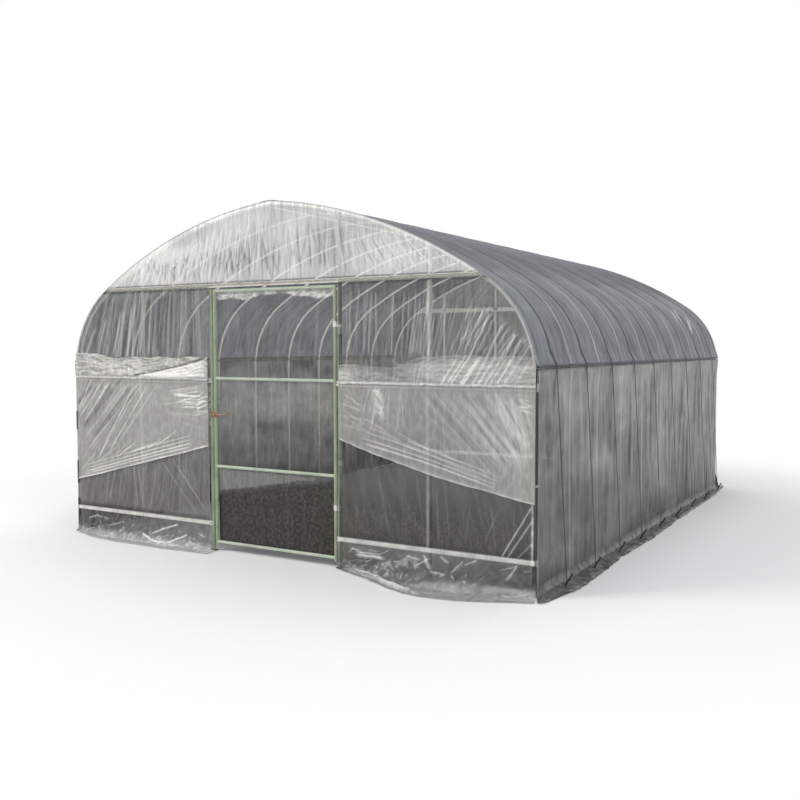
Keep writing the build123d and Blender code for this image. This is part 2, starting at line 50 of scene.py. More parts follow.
# A polytunnel of clear film over bent pipe hoops. The metal is the CAD's own, with finishes given here.
# Each film is a dense grid that is shaped by folds, gathers and creases. It carries marks at each point,
# which its material reads: haze makes it milky and pale, the mud and shade mark makes it darker with mud
# and, in places, with painted shade, touch thinner (denser where it is below 0), and glint gives a painted
# pale warm highlight.
#
# Metres. +Z is up, +Y runs from the door end to the far end, and +X is right seen from the door.

# ---- sizes that the imported boxes don't give
PIPE_R = 0.0111
LEG_H = 1.19  # straight part of a hoop's leg
R_SH = 0.66  # radius of the shoulder bend's centreline
TURN = math.radians(56.0)  # from the upright leg to the long roof curve
RIDGE = 2.28  # top of a hoop
RAIL_HALF = 0.014  # half the height of a channel


def middle(node, axis):
    """Middle of a CAD node along an axis, to a tenth of a millimetre."""
    low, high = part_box(node)
    k = "xyz".index(axis)
    return round((low[k] + high[k]) / 2, 4)


def reach_past(node, axis, start):
    """How far a CAD node reaches past a place along an axis, to a tenth of a millimetre."""
    return round(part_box(node)[1]["xyz".index(axis)] - start, 4)


# ---- sizes from the frame
HALF = middle("hoop_10", "y")  # half the length, between the end hoops
PITCH = round(middle("hoop_02", "y") - middle("hoop_01", "y"), 4)
HOOPS = PITCH * np.arange(10) - HALF
BANDS = HOOPS[:-1] + PITCH / 2
LEG_X = reach_past("hoop_01", "x", PIPE_R)
SLEEVE = reach_past("hoop_10", "y", HALF)  # radius of the ridge sleeves
RAIL_FRONT = reach_past("back_top_rail", "y", HALF)
EAVE_Z = middle("eave_rail_right", "z")
TOP_Z = middle("front_top_rail", "z")
MID_Z = middle("front_mid_rails", "z")
LOW_Z = middle("front_bottom_rails", "z")
POST_X = middle("front_door_post_right", "x")
STUD_X = reach_past("front_studs", "x", PIPE_R)
END_Y = HALF + round(RAIL_FRONT + 0.0008, 4)  # face of an end wall's film
SKIRT_TOP = LOW_Z - RAIL_HALF

# ---- the arch: the shoulder bend, then the long roof curve up to the ridge
SX = LEG_X - R_SH
bend_out = np.array([math.cos(TURN), math.sin(TURN)])
bend_end = np.array([SX, LEG_H]) + bend_out * R_SH
to_ridge = np.array([0, RIDGE - PIPE_R]) - bend_end
R_RF = float(to_ridge @ to_ridge / (-2 * to_ridge @ bend_out))
CX, CZ = bend_end - bend_out * R_RF


def other_side(longest, side):
    """The third side of a right-angled triangle."""
    return np.sqrt(np.maximum(longest**2 - side**2, 0))


def arch_x(z, off):
    """Half width of the arch at height z, off outside the hoop's centreline."""
    z = np.asarray(z, float)
    bend_top = LEG_H + (R_SH + off) * math.sin(TURN)
    bend, curve = SX + other_side(R_SH + off, z - LEG_H), CX + other_side(R_RF + off, z - CZ)
    return np.where(z <= LEG_H, LEG_X + off, np.where(z <= bend_top, bend, curve))


def arch_z(x, off):
    """Height of the arch at x."""
    x = np.abs(np.asarray(x, float))
    bend, curve = LEG_H + other_side(R_SH + off, x - SX), CZ + other_side(R_RF + off, x - CX)
    return np.where(x >= SX + (R_SH + off) * math.cos(TURN), bend, curve)


def arc_rows(cx, cz, r, turns):
    """x, z and the outward normal of points on an arc."""
    c, s = np.cos(turns), np.sin(turns)
    return np.stack([cx + r * c, cz + r * s, c, s], 1)


def arch_line(z_from, n):
    """n points on the hoop's centreline, from z_from on the right shoulder to the ridge, as x, z and
    the outward normal, and their lengths along it."""
    start = math.asin((z_from - LEG_H) / R_SH)
    bend = arc_rows(SX, LEG_H, R_SH, np.linspace(start, TURN, 400, endpoint=False))
    curve = arc_rows(CX, CZ, R_RF, np.linspace(TURN, math.acos(-CX / R_RF), 400))
    r = np.concatenate([bend, curve])
    r[-1, 2:] = (0, 1)
    s = np.concatenate([[0], np.cumsum(np.hypot(*np.diff(r[:, :2], axis=0).T))])
    at = np.linspace(0, s[-1], n)
    out = np.stack([np.interp(at, s, r[:, k]) for k in range(4)], 1)
    out[:, 2:] /= np.hypot(out[:, 2], out[:, 3])[:, None]
    return out, at


# ---- noise and creases


def noise(x, y, seed):
    """Gradient noise in about -0.7 to 0.7."""
    x, y = np.broadcast_arrays(np.asarray(x, float), np.asarray(y, float))
    xi, yi = np.floor(x).astype(np.int64), np.floor(y).astype(np.int64)
    xf, yf = x - xi, y - yi
    u, v = (q * q * q * (q * (q * 6 - 15) + 10) for q in (xf, yf))

    def corner(ix, iy, dx, dy):
        h = (ix * 374761393 + iy * 668265263 + seed * 974634777) & 0xFFFFFFFF
        h = ((h ^ (h >> 13)) * 1274126177) & 0xFFFFFFFF
        a = ((h ^ (h >> 16)) & 0xFFFF) / 65536 * 2 * math.pi
        return np.cos(a) * dx + np.sin(a) * dy

    n00, n10 = corner(xi, yi, xf, yf), corner(xi + 1, yi, xf - 1, yf)
    n01, n11 = corner(xi, yi + 1, xf, yf - 1), corner(xi + 1, yi + 1, xf - 1, yf - 1)
    return (n00 * (1 - u) + n10 * u) * (1 - v) + (n01 * (1 - u) + n11 * u) * v


def cloudy(x, y, seed):
    """Three octaves of noise."""
    return sum(0.5**k * noise(x * 2**k, y * 2**k, seed + 17 * k) for k in range(3))


def ridged(x, y, seed):
    """Sharp ridges on a flat ground, 0 to 1."""
    return unit(1 - 2.6 * np.abs(noise(x, y, seed))) ** 1.5


def smooth(x, a, b):
    """A soft step from 0 at a to 1 at b."""
    t = unit((np.asarray(x, float) - a) / (b - a))
    return t * t * (3 - 2 * t)


def fall(x, a, b):
    """A soft step from 1 at a to 0 at b."""
    return 1 - smooth(x, a, b)


def unit(x):
    """x kept within 0 and 1."""
    return np.clip(x, 0, 1)


def bump(x, at, wide):
    """A soft hump, 1 at its middle."""
    return np.exp(-(((np.asarray(x, float) - at) / wide) ** 2))


class Field:
    """Height and haze over a flat panel, added up from creases and noise."""

    def __init__(self, X, Z):
        self.X, self.Z = X, Z
        self.h = np.zeros_like(X)
        self.haze = np.zeros_like(X)

    def crease(self, x0, z0, x1, z1, wide, high, haze, fade=0.25, bow=0.0):
        """One straight or slightly bowed crease."""
        dx, dz = x1 - x0, z1 - z0
        long = math.hypot(dx, dz)
        ux, uz = dx / long, dz / long
        t = ((self.X - x0) * ux + (self.Z - z0) * uz) / long
        d = -(self.X - x0) * uz + (self.Z - z0) * ux
        d = d - bow * 4 * t * (1 - t)
        near = (np.abs(d) < 5 * wide) & (t > -0.05) & (t < 1.05)
        tt, dd = t[near], d[near]
        along = smooth(tt, 0, fade) * fall(tt, 1 - fade, 1)
        shape = np.exp(-np.abs(dd) / wide) - 0.45 * np.exp(-(((dd - 1.8 * wide) / (1.2 * wide)) ** 2))
        self.h[near] += high * shape * along
        self.haze[near] += haze * np.exp(-((dd / (0.8 * wide)) ** 2)) * along

    def family(self, count, start, end, wide, high, haze, jitter=0.02, fade=0.25, bow=0.0):
        """Creases whose ends are drawn along two segments, (x, z, x, z), in step with each other."""
        for k in range(count):
            t = (k + rng.uniform(0.1, 0.9)) / count
            ends = []
            for ax, az, bx, bz in (start, end):
                ends.append(ax + (bx - ax) * t + rng.normal(0, jitter))
                ends.append(az + (bz - az) * t + rng.normal(0, jitter))
            s = rng.uniform(0.45, 1.3)
            width = wide * rng.uniform(0.6, 1.5)
            self.crease(*ends, width, high * s, haze * s, fade, bow * rng.normal())

    def lay(self, families=(), creases=()):
        """Rows of what family and crease take."""
        for row in families:
            self.family(*row)
        for row in creases:
            self.crease(*row)

    def scatter(self, draw, count, across, out, spread, long, wide, haze, bow=0.0):
        """Short creases at random places, two thirds of which lean one way."""
        for k in range(count):
            x, z = draw.uniform(*across), draw.uniform(*out)
            turn = (-1 if k % 3 else 1) * abs(draw.normal(0.55, spread))
            half = draw.uniform(*long) / 2
            dx, dz = half * math.cos(turn), half * math.sin(turn)
            strong = draw.uniform(0.15, 0.8) ** 1.3
            width = draw.uniform(*wide)
            bend = draw.normal(0, bow) if bow else 0.0
            self.crease(x - dx, z - dz, x + dx, z + dz, width, 0.01 * strong, haze * strong, 0.3, bend)


# ---- meshes


def add_object(data):
    o = bpy.data.objects.new(data.name, data)
    bpy.context.scene.collection.objects.link(o)
    return o


def film(name, P, material, node, flat, held, rests_on, area=None, flip=False, body="greenhouse", **marks):
    """A film from its grid of points and marks, which stands for a CAD node."""
    if flip:  # so that its faces look outwards
        P = P[:, ::-1]
        marks = {label: values[:, ::-1] for label, values in marks.items()}
    ny, nx, _ = P.shape
    idx = np.arange(ny * nx).reshape(ny, nx)
    quads = np.stack([idx[:-1, :-1], idx[:-1, 1:], idx[1:, 1:], idx[1:, :-1]], -1).reshape(-1, 4)
    me = bpy.data.meshes.new(name)
    me.from_pydata(P.reshape(-1, 3), [], quads)
    for label in ("haze", "touch", "dirt", "glint"):
        values = np.broadcast_to(marks.get(label, 0.0), (ny, nx)).astype(np.float32)
        me.attributes.new(label, "FLOAT", "POINT").data.foreach_set("value", values.ravel())
    me.shade_smooth()
    o = add_object(me)
    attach(o, body)
    me.materials.append(material)
    if node:
        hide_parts(node)


def loose_parts(name, parts, material, shade_smooth=False):
    """One mesh from loose parts, each its vertices and faces."""
    verts, faces = [], []
    for v, f in parts:
        base = len(verts)
        verts += [tuple(map(float, p)) for p in v]
        faces += [tuple(i + base for i in face) for face in f]
    me = bpy.data.meshes.new(name)
    me.from_pydata(verts, [], faces)
    if shade_smooth:
        me.shade_smooth()
    o = add_object(me)
    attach(o, "greenhouse")
    me.materials.append(finish[material])
    return o


def ring_faces(count):
    """Faces that join rings of four points and close both ends."""
    faces = []
    for ring in range(0, 4 * count - 4, 4):
        for k in range(4):
            a, b = ring + k, ring + (k + 1) % 4
            faces.append((a, b, b + 4, a + 4))
    return faces + [(3, 2, 1, 0), tuple(range(4 * count - 4, 4 * count))]


def wire_parts(points, radius):
    """Vertices and faces of a square wire along points."""
    p = np.array(points, float)
    t = np.gradient(p, axis=0)
    t /= np.linalg.norm(t, axis=1)[:, None]
    n = np.cross(t[0], (0, 0, 1.0) if abs(t[0][2]) < 0.9 else (1.0, 0, 0))
    n /= np.linalg.norm(n)
    verts = []
    for i in range(len(p)):
        n = n - (n @ t[i]) * t[i]
        n /= np.linalg.norm(n)
        b = np.cross(t[i], n)
        verts += [p[i] + radius * q for q in (n, b, -n, -b)]
    return verts, ring_faces(len(p))


# ---- materials


def set_sockets(tree, node, sockets):
    """Set a node's sockets to numbers or colours, or link other nodes' outputs to them."""
    for label, value in sockets.items():
        if isinstance(value, bpy.types.NodeSocket):
            tree.links.new(value, node.inputs[label])
        else:
            node.inputs[label].default_value = value


def add_node(tree, kind, sockets=None, **settings):
    node = tree.nodes.new("ShaderNode" + kind)
    for key, value in settings.items():
        setattr(node, key, value)
    set_sockets(tree, node, sockets or {})
    return node


def add_ramp(tree, factor, *stops):
    """A colour ramp between two stops, each its place and colour."""
    node = add_node(tree, "ValToRGB", {"Fac": factor})
    for element, (place, colour) in zip(node.color_ramp.elements, stops):
        element.position = place
        element.color = (*colour, 1)
    return node.outputs["Color"]


def new_material(name):
    m = bpy.data.materials.new(name)
    m.use_nodes = True
    return m, m.node_tree, m.node_tree.nodes["Principled BSDF"]


def film_material(name, dark, light, a_low, a_high, rough, streak, uneven=0.45, shine=0.5):
    """Film between a dark clear state and a pale milky one, with drawn-out streaks. a_low and a_high are
    its alpha in the two states."""
    m, tree, bsdf = new_material(name)

    def calc(op, a, b, clamp=False):
        return add_node(tree, "Math", {0: a, 1: b}, operation=op, use_clamp=clamp).outputs[0]

    def blended(factor, a, b):
        return add_node(tree, "Mix", {"Factor": factor, "A": a, "B": b}, data_type="RGBA").outputs["Result"]

    def mark(label):
        return add_node(tree, "Attribute", attribute_name=label).outputs["Fac"]

    haze, touch, dirt, glint = mark("haze"), mark("touch"), mark("dirt"), mark("glint")
    place = add_node(tree, "TexCoord").outputs["Object"]
    fine = add_node(tree, "TexNoise", {"Scale": 50.0, "Detail": 3.0, "Vector": place}).outputs["Fac"]
    drawn = add_node(tree, "Mapping", {"Scale": streak, "Vector": place}).outputs[0]
    grain = {"Scale": 1.0, "Detail": 4.0, "Roughness": 0.65, "Distortion": 0.4, "Vector": drawn}
    streaks = add_node(tree, "TexNoise", grain).outputs["Fac"]
    level = calc("ADD", haze, calc("MULTIPLY", calc("SUBTRACT", streaks, 0.5), uneven), True)
    clean = blended(level, (*dark, 1), (*light, 1))
    specks = add_ramp(tree, fine, (0.4, (0.014, 0.012, 0.01)), (0.7, (0.062, 0.054, 0.047)))
    # The mud and shade mark blends in soil-coloured specks, for mud and for painted shade; the glint mark
    # blends in a painted pale warm highlight.
    lit = blended(glint, blended(dirt, clean, specks), (0.98, 0.88, 0.85, 1))
    alpha = calc("ADD", calc("MULTIPLY", level, a_high - a_low), a_low)
    alpha = calc("ADD", alpha, calc("MULTIPLY", dirt, 0.6))
    alpha = calc("MULTIPLY", alpha, calc("SUBTRACT", 1.0, calc("MULTIPLY", touch, 0.6)), True)
    relief = add_node(tree, "Bump", {"Strength": 0.25, "Distance": 0.004, "Height": fine}).outputs["Normal"]
    set_sockets(tree, bsdf, {"Base Color": lit, "Alpha": alpha, "Normal": relief, "Roughness": rough,
                             "Specular IOR Level": shine})
    return m


def metal_material(name, colour, metallic, rough, worn, worn_scale, worn_at=0.6, dull=None):
    """Painted or bare metal with worn patches of another colour and an uneven gloss. With dull, it is
    darker below a person's waist."""
    m, tree, bsdf = new_material(name)
    place = add_node(tree, "TexCoord").outputs["Object"]
    grain = {"Scale": worn_scale, "Detail": 5.0, "Vector": place}
    patches = add_node(tree, "TexNoise", grain).outputs["Fac"]
    shown = add_ramp(tree, patches, (worn_at - 0.12, colour), (worn_at + 0.12, worn))
    if dull is not None:
        height = add_node(tree, "SeparateXYZ", {0: place}).outputs["Z"]
        span = {"Value": height, "From Min": 0.85, "From Max": 1.4, "To Min": dull}
        share = add_node(tree, "MapRange", span).outputs["Result"]
        shown = add_node(tree, "VectorMath", {0: shown, "Scale": share}, operation="SCALE").outputs[0]
    span = {"Value": patches, "To Min": rough - 0.15, "To Max": rough + 0.15}
    gloss = add_node(tree, "MapRange", span).outputs["Result"]
    set_sockets(tree, bsdf, {"Metallic": metallic, "Base Color": shown, "Roughness": gloss})
    return m


# The films' dark states, and the near-opaque alpha of the roof, side and back films, are partly the film's
# own dusty grey and partly painted shade for the tunnel's inside seen through the film.
film_front = film_material("film_front", (0.044, 0.042, 0.039), (0.86, 0.85, 0.81), 0.42, 0.94, 0.22,
                           (85.0, 85.0, 13.0), 0.34, 0.32)
film_gable = film_material("film_gable", (0.1, 0.1, 0.095), (0.98, 0.97, 0.94), 0.22, 0.78, 0.2,
                           (105.0, 105.0, 8.0))
# The roof film's bluish colours are a painted reflection of the sky.
film_roof = film_material("film_roof", (0.028, 0.036, 0.05), (0.46, 0.5, 0.56), 0.94, 0.97, 0.44,
                          (6.0, 30.0, 6.0), shine=0.16)
film_side = film_material("film_side", (0.054, 0.055, 0.053), (0.5, 0.51, 0.5), 0.93, 0.97, 0.3,
                          (14.0, 26.0, 8.0), 0.52, 0.36)
film_back = film_material("film_back", (0.055, 0.056, 0.056), (0.6, 0.6, 0.58), 0.9, 0.97, 0.26,
                          (40.0, 40.0, 6.0))

# name, colour, metallic, roughness, worn colour, the scale of its patches, where they start and dull
METALS = (
    ("galvanised", (0.88, 0.87, 0.83), 0.1, 0.42, (0.72, 0.72, 0.69), 22.0, 0.6, 0.5),
    ("channel", (0.76, 0.74, 0.66), 0.0, 0.45, (0.48, 0.44, 0.36), 14.0),
    ("channel_back", (0.96, 0.93, 0.82), 0.0, 0.45, (0.78, 0.74, 0.62), 14.0),
    # The eave channels get a dark copy of the channel finish, which paints in the shade that lies in and
    # under them.
    ("eave_channel_shade", (0.2, 0.2, 0.195), 0.3, 0.5, (0.11, 0.11, 0.105), 14.0),
    ("green_pipe", (0.33, 0.39, 0.27), 0.0, 0.45, (0.22, 0.27, 0.18), 9.0),
    ("mint_pipe", (0.5, 0.56, 0.45), 0.0, 0.42, (0.38, 0.44, 0.34), 9.0),
    ("clamp_steel", (0.58, 0.58, 0.55), 0.7, 0.42, (0.36, 0.3, 0.24), 60.0),
    ("hinge_steel", (0.74, 0.74, 0.7), 0.6, 0.36, (0.52, 0.47, 0.4), 80.0),
    ("latch_steel", (0.25, 0.13, 0.07), 0.2, 0.65, (0.44, 0.3, 0.18), 90.0, 0.52),
    ("band_webbing", (0.022, 0.023, 0.026), 0.0, 0.62, (0.05, 0.05, 0.055), 160.0),
    ("peg_steel", (0.055, 0.048, 0.043), 0.5, 0.55, (0.13, 0.075, 0.045), 60.0),
    ("shoe_steel", (0.05, 0.05, 0.05), 0.2, 0.6, (0.1, 0.085, 0.07), 60.0),
    # Black for the dark clips, which also paint in the shade in the gaps at the corners and the hinge post.
    ("black_plastic_and_shade", (0.018, 0.018, 0.019), 0.0, 0.45, (0.035, 0.035, 0.036), 40.0),
    ("lock_wire", (0.8, 0.8, 0.76), 0.3, 0.35, (0.62, 0.6, 0.54), 50.0),
)
finish = {row[0]: metal_material(*row) for row in METALS}
finish["galvanised_pipe"] = finish["galvanised"]
finish["film"] = film_front
OWN_FINISH = {"eave_rail_left": "eave_channel_shade", "eave_rail_right": "eave_channel_shade",
              "back_top_rail": "channel_back"}
for part in frame["record"]["subparts"]:
    node = part["node"]
    materials = frame["nodes"][node].data.materials
    materials.clear()
    materials.append(finish[OWN_FINISH.get(node, part["material_slot"])])

# ---- front wall films
# Rows for Field.family hold how many creases, the segments (x, z, x, z) that their starts and ends lie
# on, width, height, haze, jitter, fade at the ends and bow. Rows for Field.crease hold x, z, x, z,
# width, height, haze, fade and bow. Both are keyed by side, -1 left and 1 right, with x from the middle.

LOWER_PULLS = (12, (0.6, 0.66, 1.75, 0.5), (0.66, 0.22, 1.7, 0.22), 0.006, 0.003, 0.12, 0.03)
PANEL_FAMILIES = {
    -1: (
        (16, (0.58, 1.77, 1.42, 1.77), (0.58, 1.28, 1.56, 1.26), 0.017, 0.004, 0.18, 0.012, 0.12),
        (18, (0.66, 1.77, 1.5, 1.7), (0.68, 1.28, 1.66, 1.24), 0.015, -0.004, -0.24, 0.014, 0.12),
        (26, (0.6, 1.77, 1.46, 1.74), (0.6, 1.28, 1.64, 1.26), 0.0065, 0.002, 0.15, 0.012, 0.15),
        (14, (1.15, 1.7, 1.62, 1.5), (1.18, 1.26, 1.77, 1.22), 0.008, 0.003, 0.24, 0.012, 0.15),
        LOWER_PULLS,
    ),
    1: (
        (30, (0.58, 1.72, 1.22, 1.7), (0.58, 1.3, 1.18, 1.28), 0.006, 0.0015, 0.2, 0.01, 0.15),
        (26, (0.6, 1.72, 1.4, 1.66), (0.6, 1.3, 1.34, 1.28), 0.008, -0.002, -0.15, 0.012, 0.15),
        (24, (1.04, 1.66, 1.54, 1.58), (0.98, 1.3, 1.42, 1.24), 0.0052, 0.001, 0.27, 0.006, 0.12),
        (11, (1.42, 1.63, 1.77, 1.37), (1.2, 1.18, 1.64, 1.16), 0.005, 0.001, 0.42, 0.004, 0.05),
        (10, (1.46, 1.61, 1.77, 1.35), (1.24, 1.18, 1.67, 1.16), 0.009, -0.002, -0.24, 0.005, 0.05),
        (24, (1.34, 1.4, 1.64, 1.2), (1.52, 1.6, 1.79, 1.38), 0.005, 0.0, 0.2, 0.004, 0.1),
        LOWER_PULLS,
    ),
}
PANEL_CREASES = {
    -1: (
        (1.03, 1.74, 1.06, 1.3, 0.01, 0.008, 0.3, 0.1),
        (0.96, 1.74, 0.98, 1.32, 0.009, -0.008, -0.25, 0.1),
        (0.86, 0.6, 0.55, 0.26, 0.005, 0.005, 0.3, 0.15),
        (0.98, 0.6, 0.62, 0.22, 0.004, 0.004, 0.24, 0.15),
    ),
    1: [(1.785, 0.5 - 2.4 * lean, 1.59 + lean, 0.175, 0.006, 0.004, strong, 0.06)
        for lean, strong in ((0.0, 0.55), (0.034, 0.45), (0.085, 0.3))],
}
# How far a skirt reaches out from the wall, (x, reach).
SKIRT_REACH = {
    -1: ((0.52, 0.13), (0.7, 0.15), (0.9, 0.153), (1.1, 0.15), (1.33, 0.156), (1.48, 0.142),
         (1.62, 0.105), (1.74, 0.062), (1.83, 0.04)),
    1: ((0.52, 0.04), (0.64, 0.085), (0.76, 0.135), (0.9, 0.205), (1.0, 0.262), (1.13, 0.312),
        (1.24, 0.33), (1.36, 0.328), (1.48, 0.3), (1.6, 0.25), (1.72, 0.18), (1.83, 0.13)),
}
# On a skirt, z is the way out over the film from the channel. On the right, a swathe runs out to the
# edge past a gathered pocket.
SKIRT_LENGTH = 0.34
SKIRT_FAMILIES = {
    -1: (),
    1: (
        (16, (0.54, 0.1, 0.54, 0.31), (0.95, 0.3, 1.34, 0.325), 0.008, 0.01, 0.15, 0.008, 0.12, 0.006),
        (8, (0.62, 0.02, 0.62, 0.09), (0.8, 0.03, 0.88, 0.08), 0.005, 0.01, 0.34, 0.012, 0.2),
    ),
}
SKIRT_CREASES = {
    -1: [(*ends, 0.009, 0.014, strong, 0.15, 0.003) for *ends, strong in (
        (1.05, 0.13, 0.79, 0.022, 0.7), (1.12, 0.13, 1.02, 0.175, 0.7), (1.03, 0.176, 0.86, 0.18, 0.65),
        (0.87, 0.18, 0.7, 0.095, 0.75), (1.47, 0.11, 1.3, 0.055, 0.35), (1.7, 0.075, 1.58, 0.035, 0.4),
        (1.62, 0.04, 1.46, 0.06, 0.3))],
    1: [(*ends, 0.007, 0.01, 0.44, 0.25, 0.002) for ends in (
        (1.1, 0.0, 1.2, 0.1), (1.06, 0.1, 1.17, 0.02), (1.17, 0.1, 1.31, 0.11), (1.31, 0.11, 1.38, 0.01),
        (1.22, 0.01, 1.3, 0.05), (1.38, 0.05, 1.46, 0.0), (0.98, 0.03, 1.12, 0.05),
        (1.64, 0.12, 1.7, 0.0))],
}
FLAP_FAMILIES = {
    -1: (  # long pulls from the middle channel to the lower outer corner, then the inner corner
        (11, (1.04, 1.12, 1.74, 1.12), (1.66, 0.56, 1.8, 0.98), 0.007, 0.005, 0.26, 0.012, 0.1),
        (9, (1.06, 1.11, 1.72, 1.11), (1.62, 0.6, 1.8, 0.96), 0.012, -0.005, -0.18, 0.02, 0.14),
        (5, (0.98, 1.1, 1.2, 1.1), (1.38, 0.66, 1.62, 0.52), 0.005, 0.006, 0.4, 0.012, 0.12),
        (12, (0.55, 1.11, 0.56, 0.94), (0.9, 1.08, 0.74, 0.96), 0.0045, 0.005, 0.34, 0.014),
        (8, (0.54, 1.08, 0.54, 0.92), (0.62, 1.02, 0.64, 0.9), 0.005, 0.006, 0.45, 0.012),
        (6, (0.56, 1.04, 0.56, 0.8), (0.98, 1.0, 0.9, 0.86), 0.01, 0.003, 0.1, 0.02),
        (16, (0.78, 0.78, 1.6, 0.6), (1.0, 0.68, 1.79, 0.46), 0.004, 0.004, 0.26, 0.014),
    ),
    1: (  # the gathered top, long soft pulls to the outer edge, then the two inner corners
        (12, (1.34, 1.34, 1.79, 1.32), (1.2, 1.15, 1.67, 1.15), 0.006, 0.003, 0.42, 0.008, 0.04),
        (16, (0.6, 1.3, 1.2, 1.32), (0.6, 1.15, 1.16, 1.15), 0.006, 0.002, 0.14, 0.01, 0.08),
        (18, (0.98, 1.12, 1.72, 1.12), (1.58, 0.58, 1.795, 0.92), 0.009, 0.002, 0.1, 0.012, 0.14),
        (12, (1.04, 1.12, 1.74, 1.12), (1.6, 0.6, 1.795, 0.9), 0.012, -0.002, -0.1, 0.012, 0.14),
        (8, (1.3, 1.1, 1.72, 1.1), (1.66, 0.62, 1.795, 0.86), 0.018, 0.003, 0.1, 0.012, 0.14),
        (7, (1.52, 1.12, 1.76, 1.08), (1.71, 0.64, 1.79, 0.74), 0.0065, 0.002, 0.16, 0.01, 0.1),
        (9, (0.54, 1.1, 0.54, 0.9), (0.66, 1.0, 0.78, 0.84), 0.005, 0.003, 0.14, 0.02),
        (10, (0.74, 1.13, 0.98, 1.12), (0.66, 0.9, 0.96, 0.86), 0.005, 0.004, 0.2, 0.02),
        (7, (1.68, 1.09, 1.7, 1.0), (1.79, 1.06, 1.79, 0.98), 0.006, 0.003, 0.22, 0.012),
        (14, (0.66, 0.92, 1.2, 0.74), (0.9, 0.86, 1.7, 0.58), 0.0045, 0.002, 0.14, 0.02),
    ),
}
FLAP_CREASES = {
    -1: [(0.54, 1.29, 1.22, 1.164, 0.007, -0.008, -0.65, 0.06, -0.012),
         (1.47, 1.1, 1.56, 0.98, 0.01, 0.006, 0.45, 0.2)]
    + [(0.53, 1.272 - 0.03 * k, 1.17 - 0.06 * k, 1.16, 0.013, 0.014, 0.48, 0.06, -0.012) for k in range(4)]
    + [(0.62, 0.675 + lift, 1.78, 0.395 + 0.8 * lift, 0.005, 0.006, strong, 0.12, 0.004)
       for lift, strong in ((0.03, 0.45), (0.052, 0.55), (0.078, 0.35), (0.105, 0.25))],
    1: [(0.66, 0.765 + lift, 1.6, 0.555 + 0.6 * lift, 0.005, 0.005, strong, 0.15, 0.012)
        for lift, strong in ((0.028, 0.45), (0.058, 0.3), (0.1, 0.22))],
}


def over_rail(z, at, half=RAIL_HALF, edge=0.01):
    """1 on a channel's face, falling to 0 beside it."""
    return fall(np.abs(z - at), half, half + edge)


def on_channels(z):
    return np.maximum.reduce([over_rail(z, at) for at in (TOP_Z, MID_Z, LOW_Z)])


def rail_line(z, at, half=0.006):
    """1 along a channel's lit face, below 0 in the shade just under it."""
    return fall(np.abs(z - at - 0.003), half, half + 0.007) - 0.8 * bump(z, at - half - 0.014, 0.006)


def rows_down(top, foot, n_wall, n_skirt):
    """Heights of the rows down a wall and over its skirt, and the share of the skirt at each."""
    over = np.linspace(0, 1, n_skirt + 1)[1:]
    heights = np.concatenate([np.linspace(top, foot, n_wall), np.full(n_skirt, foot)])
    return heights, np.concatenate([np.zeros(n_wall), over])


def turned_out(W, reach, falls=0.6):
    """How far out and how high an end wall's skirt lies, as W goes from 0 at the channel to 1."""
    t = unit(W / falls)
    out = reach * np.where(W < falls, 0.5 * t**1.25, 0.5 + 0.5 * (W - falls) / (1 - falls))
    return out, np.where(W < falls, SKIRT_TOP * (1 - t) ** 1.15, 0)


def hem_line(side, a):
    """Height of the rolled edge of the second layer."""
    u = (np.asarray(a, float) - 0.525) / 1.276
    if side < 0:
        return 0.7 - u * 0.31 + 0.01 * noise(a * 3, 0, 4)
    return 0.8 - u * 0.29 - 0.025 * np.sin(np.pi * unit(u)) + 0.008 * noise(a * 3, 0, 9)


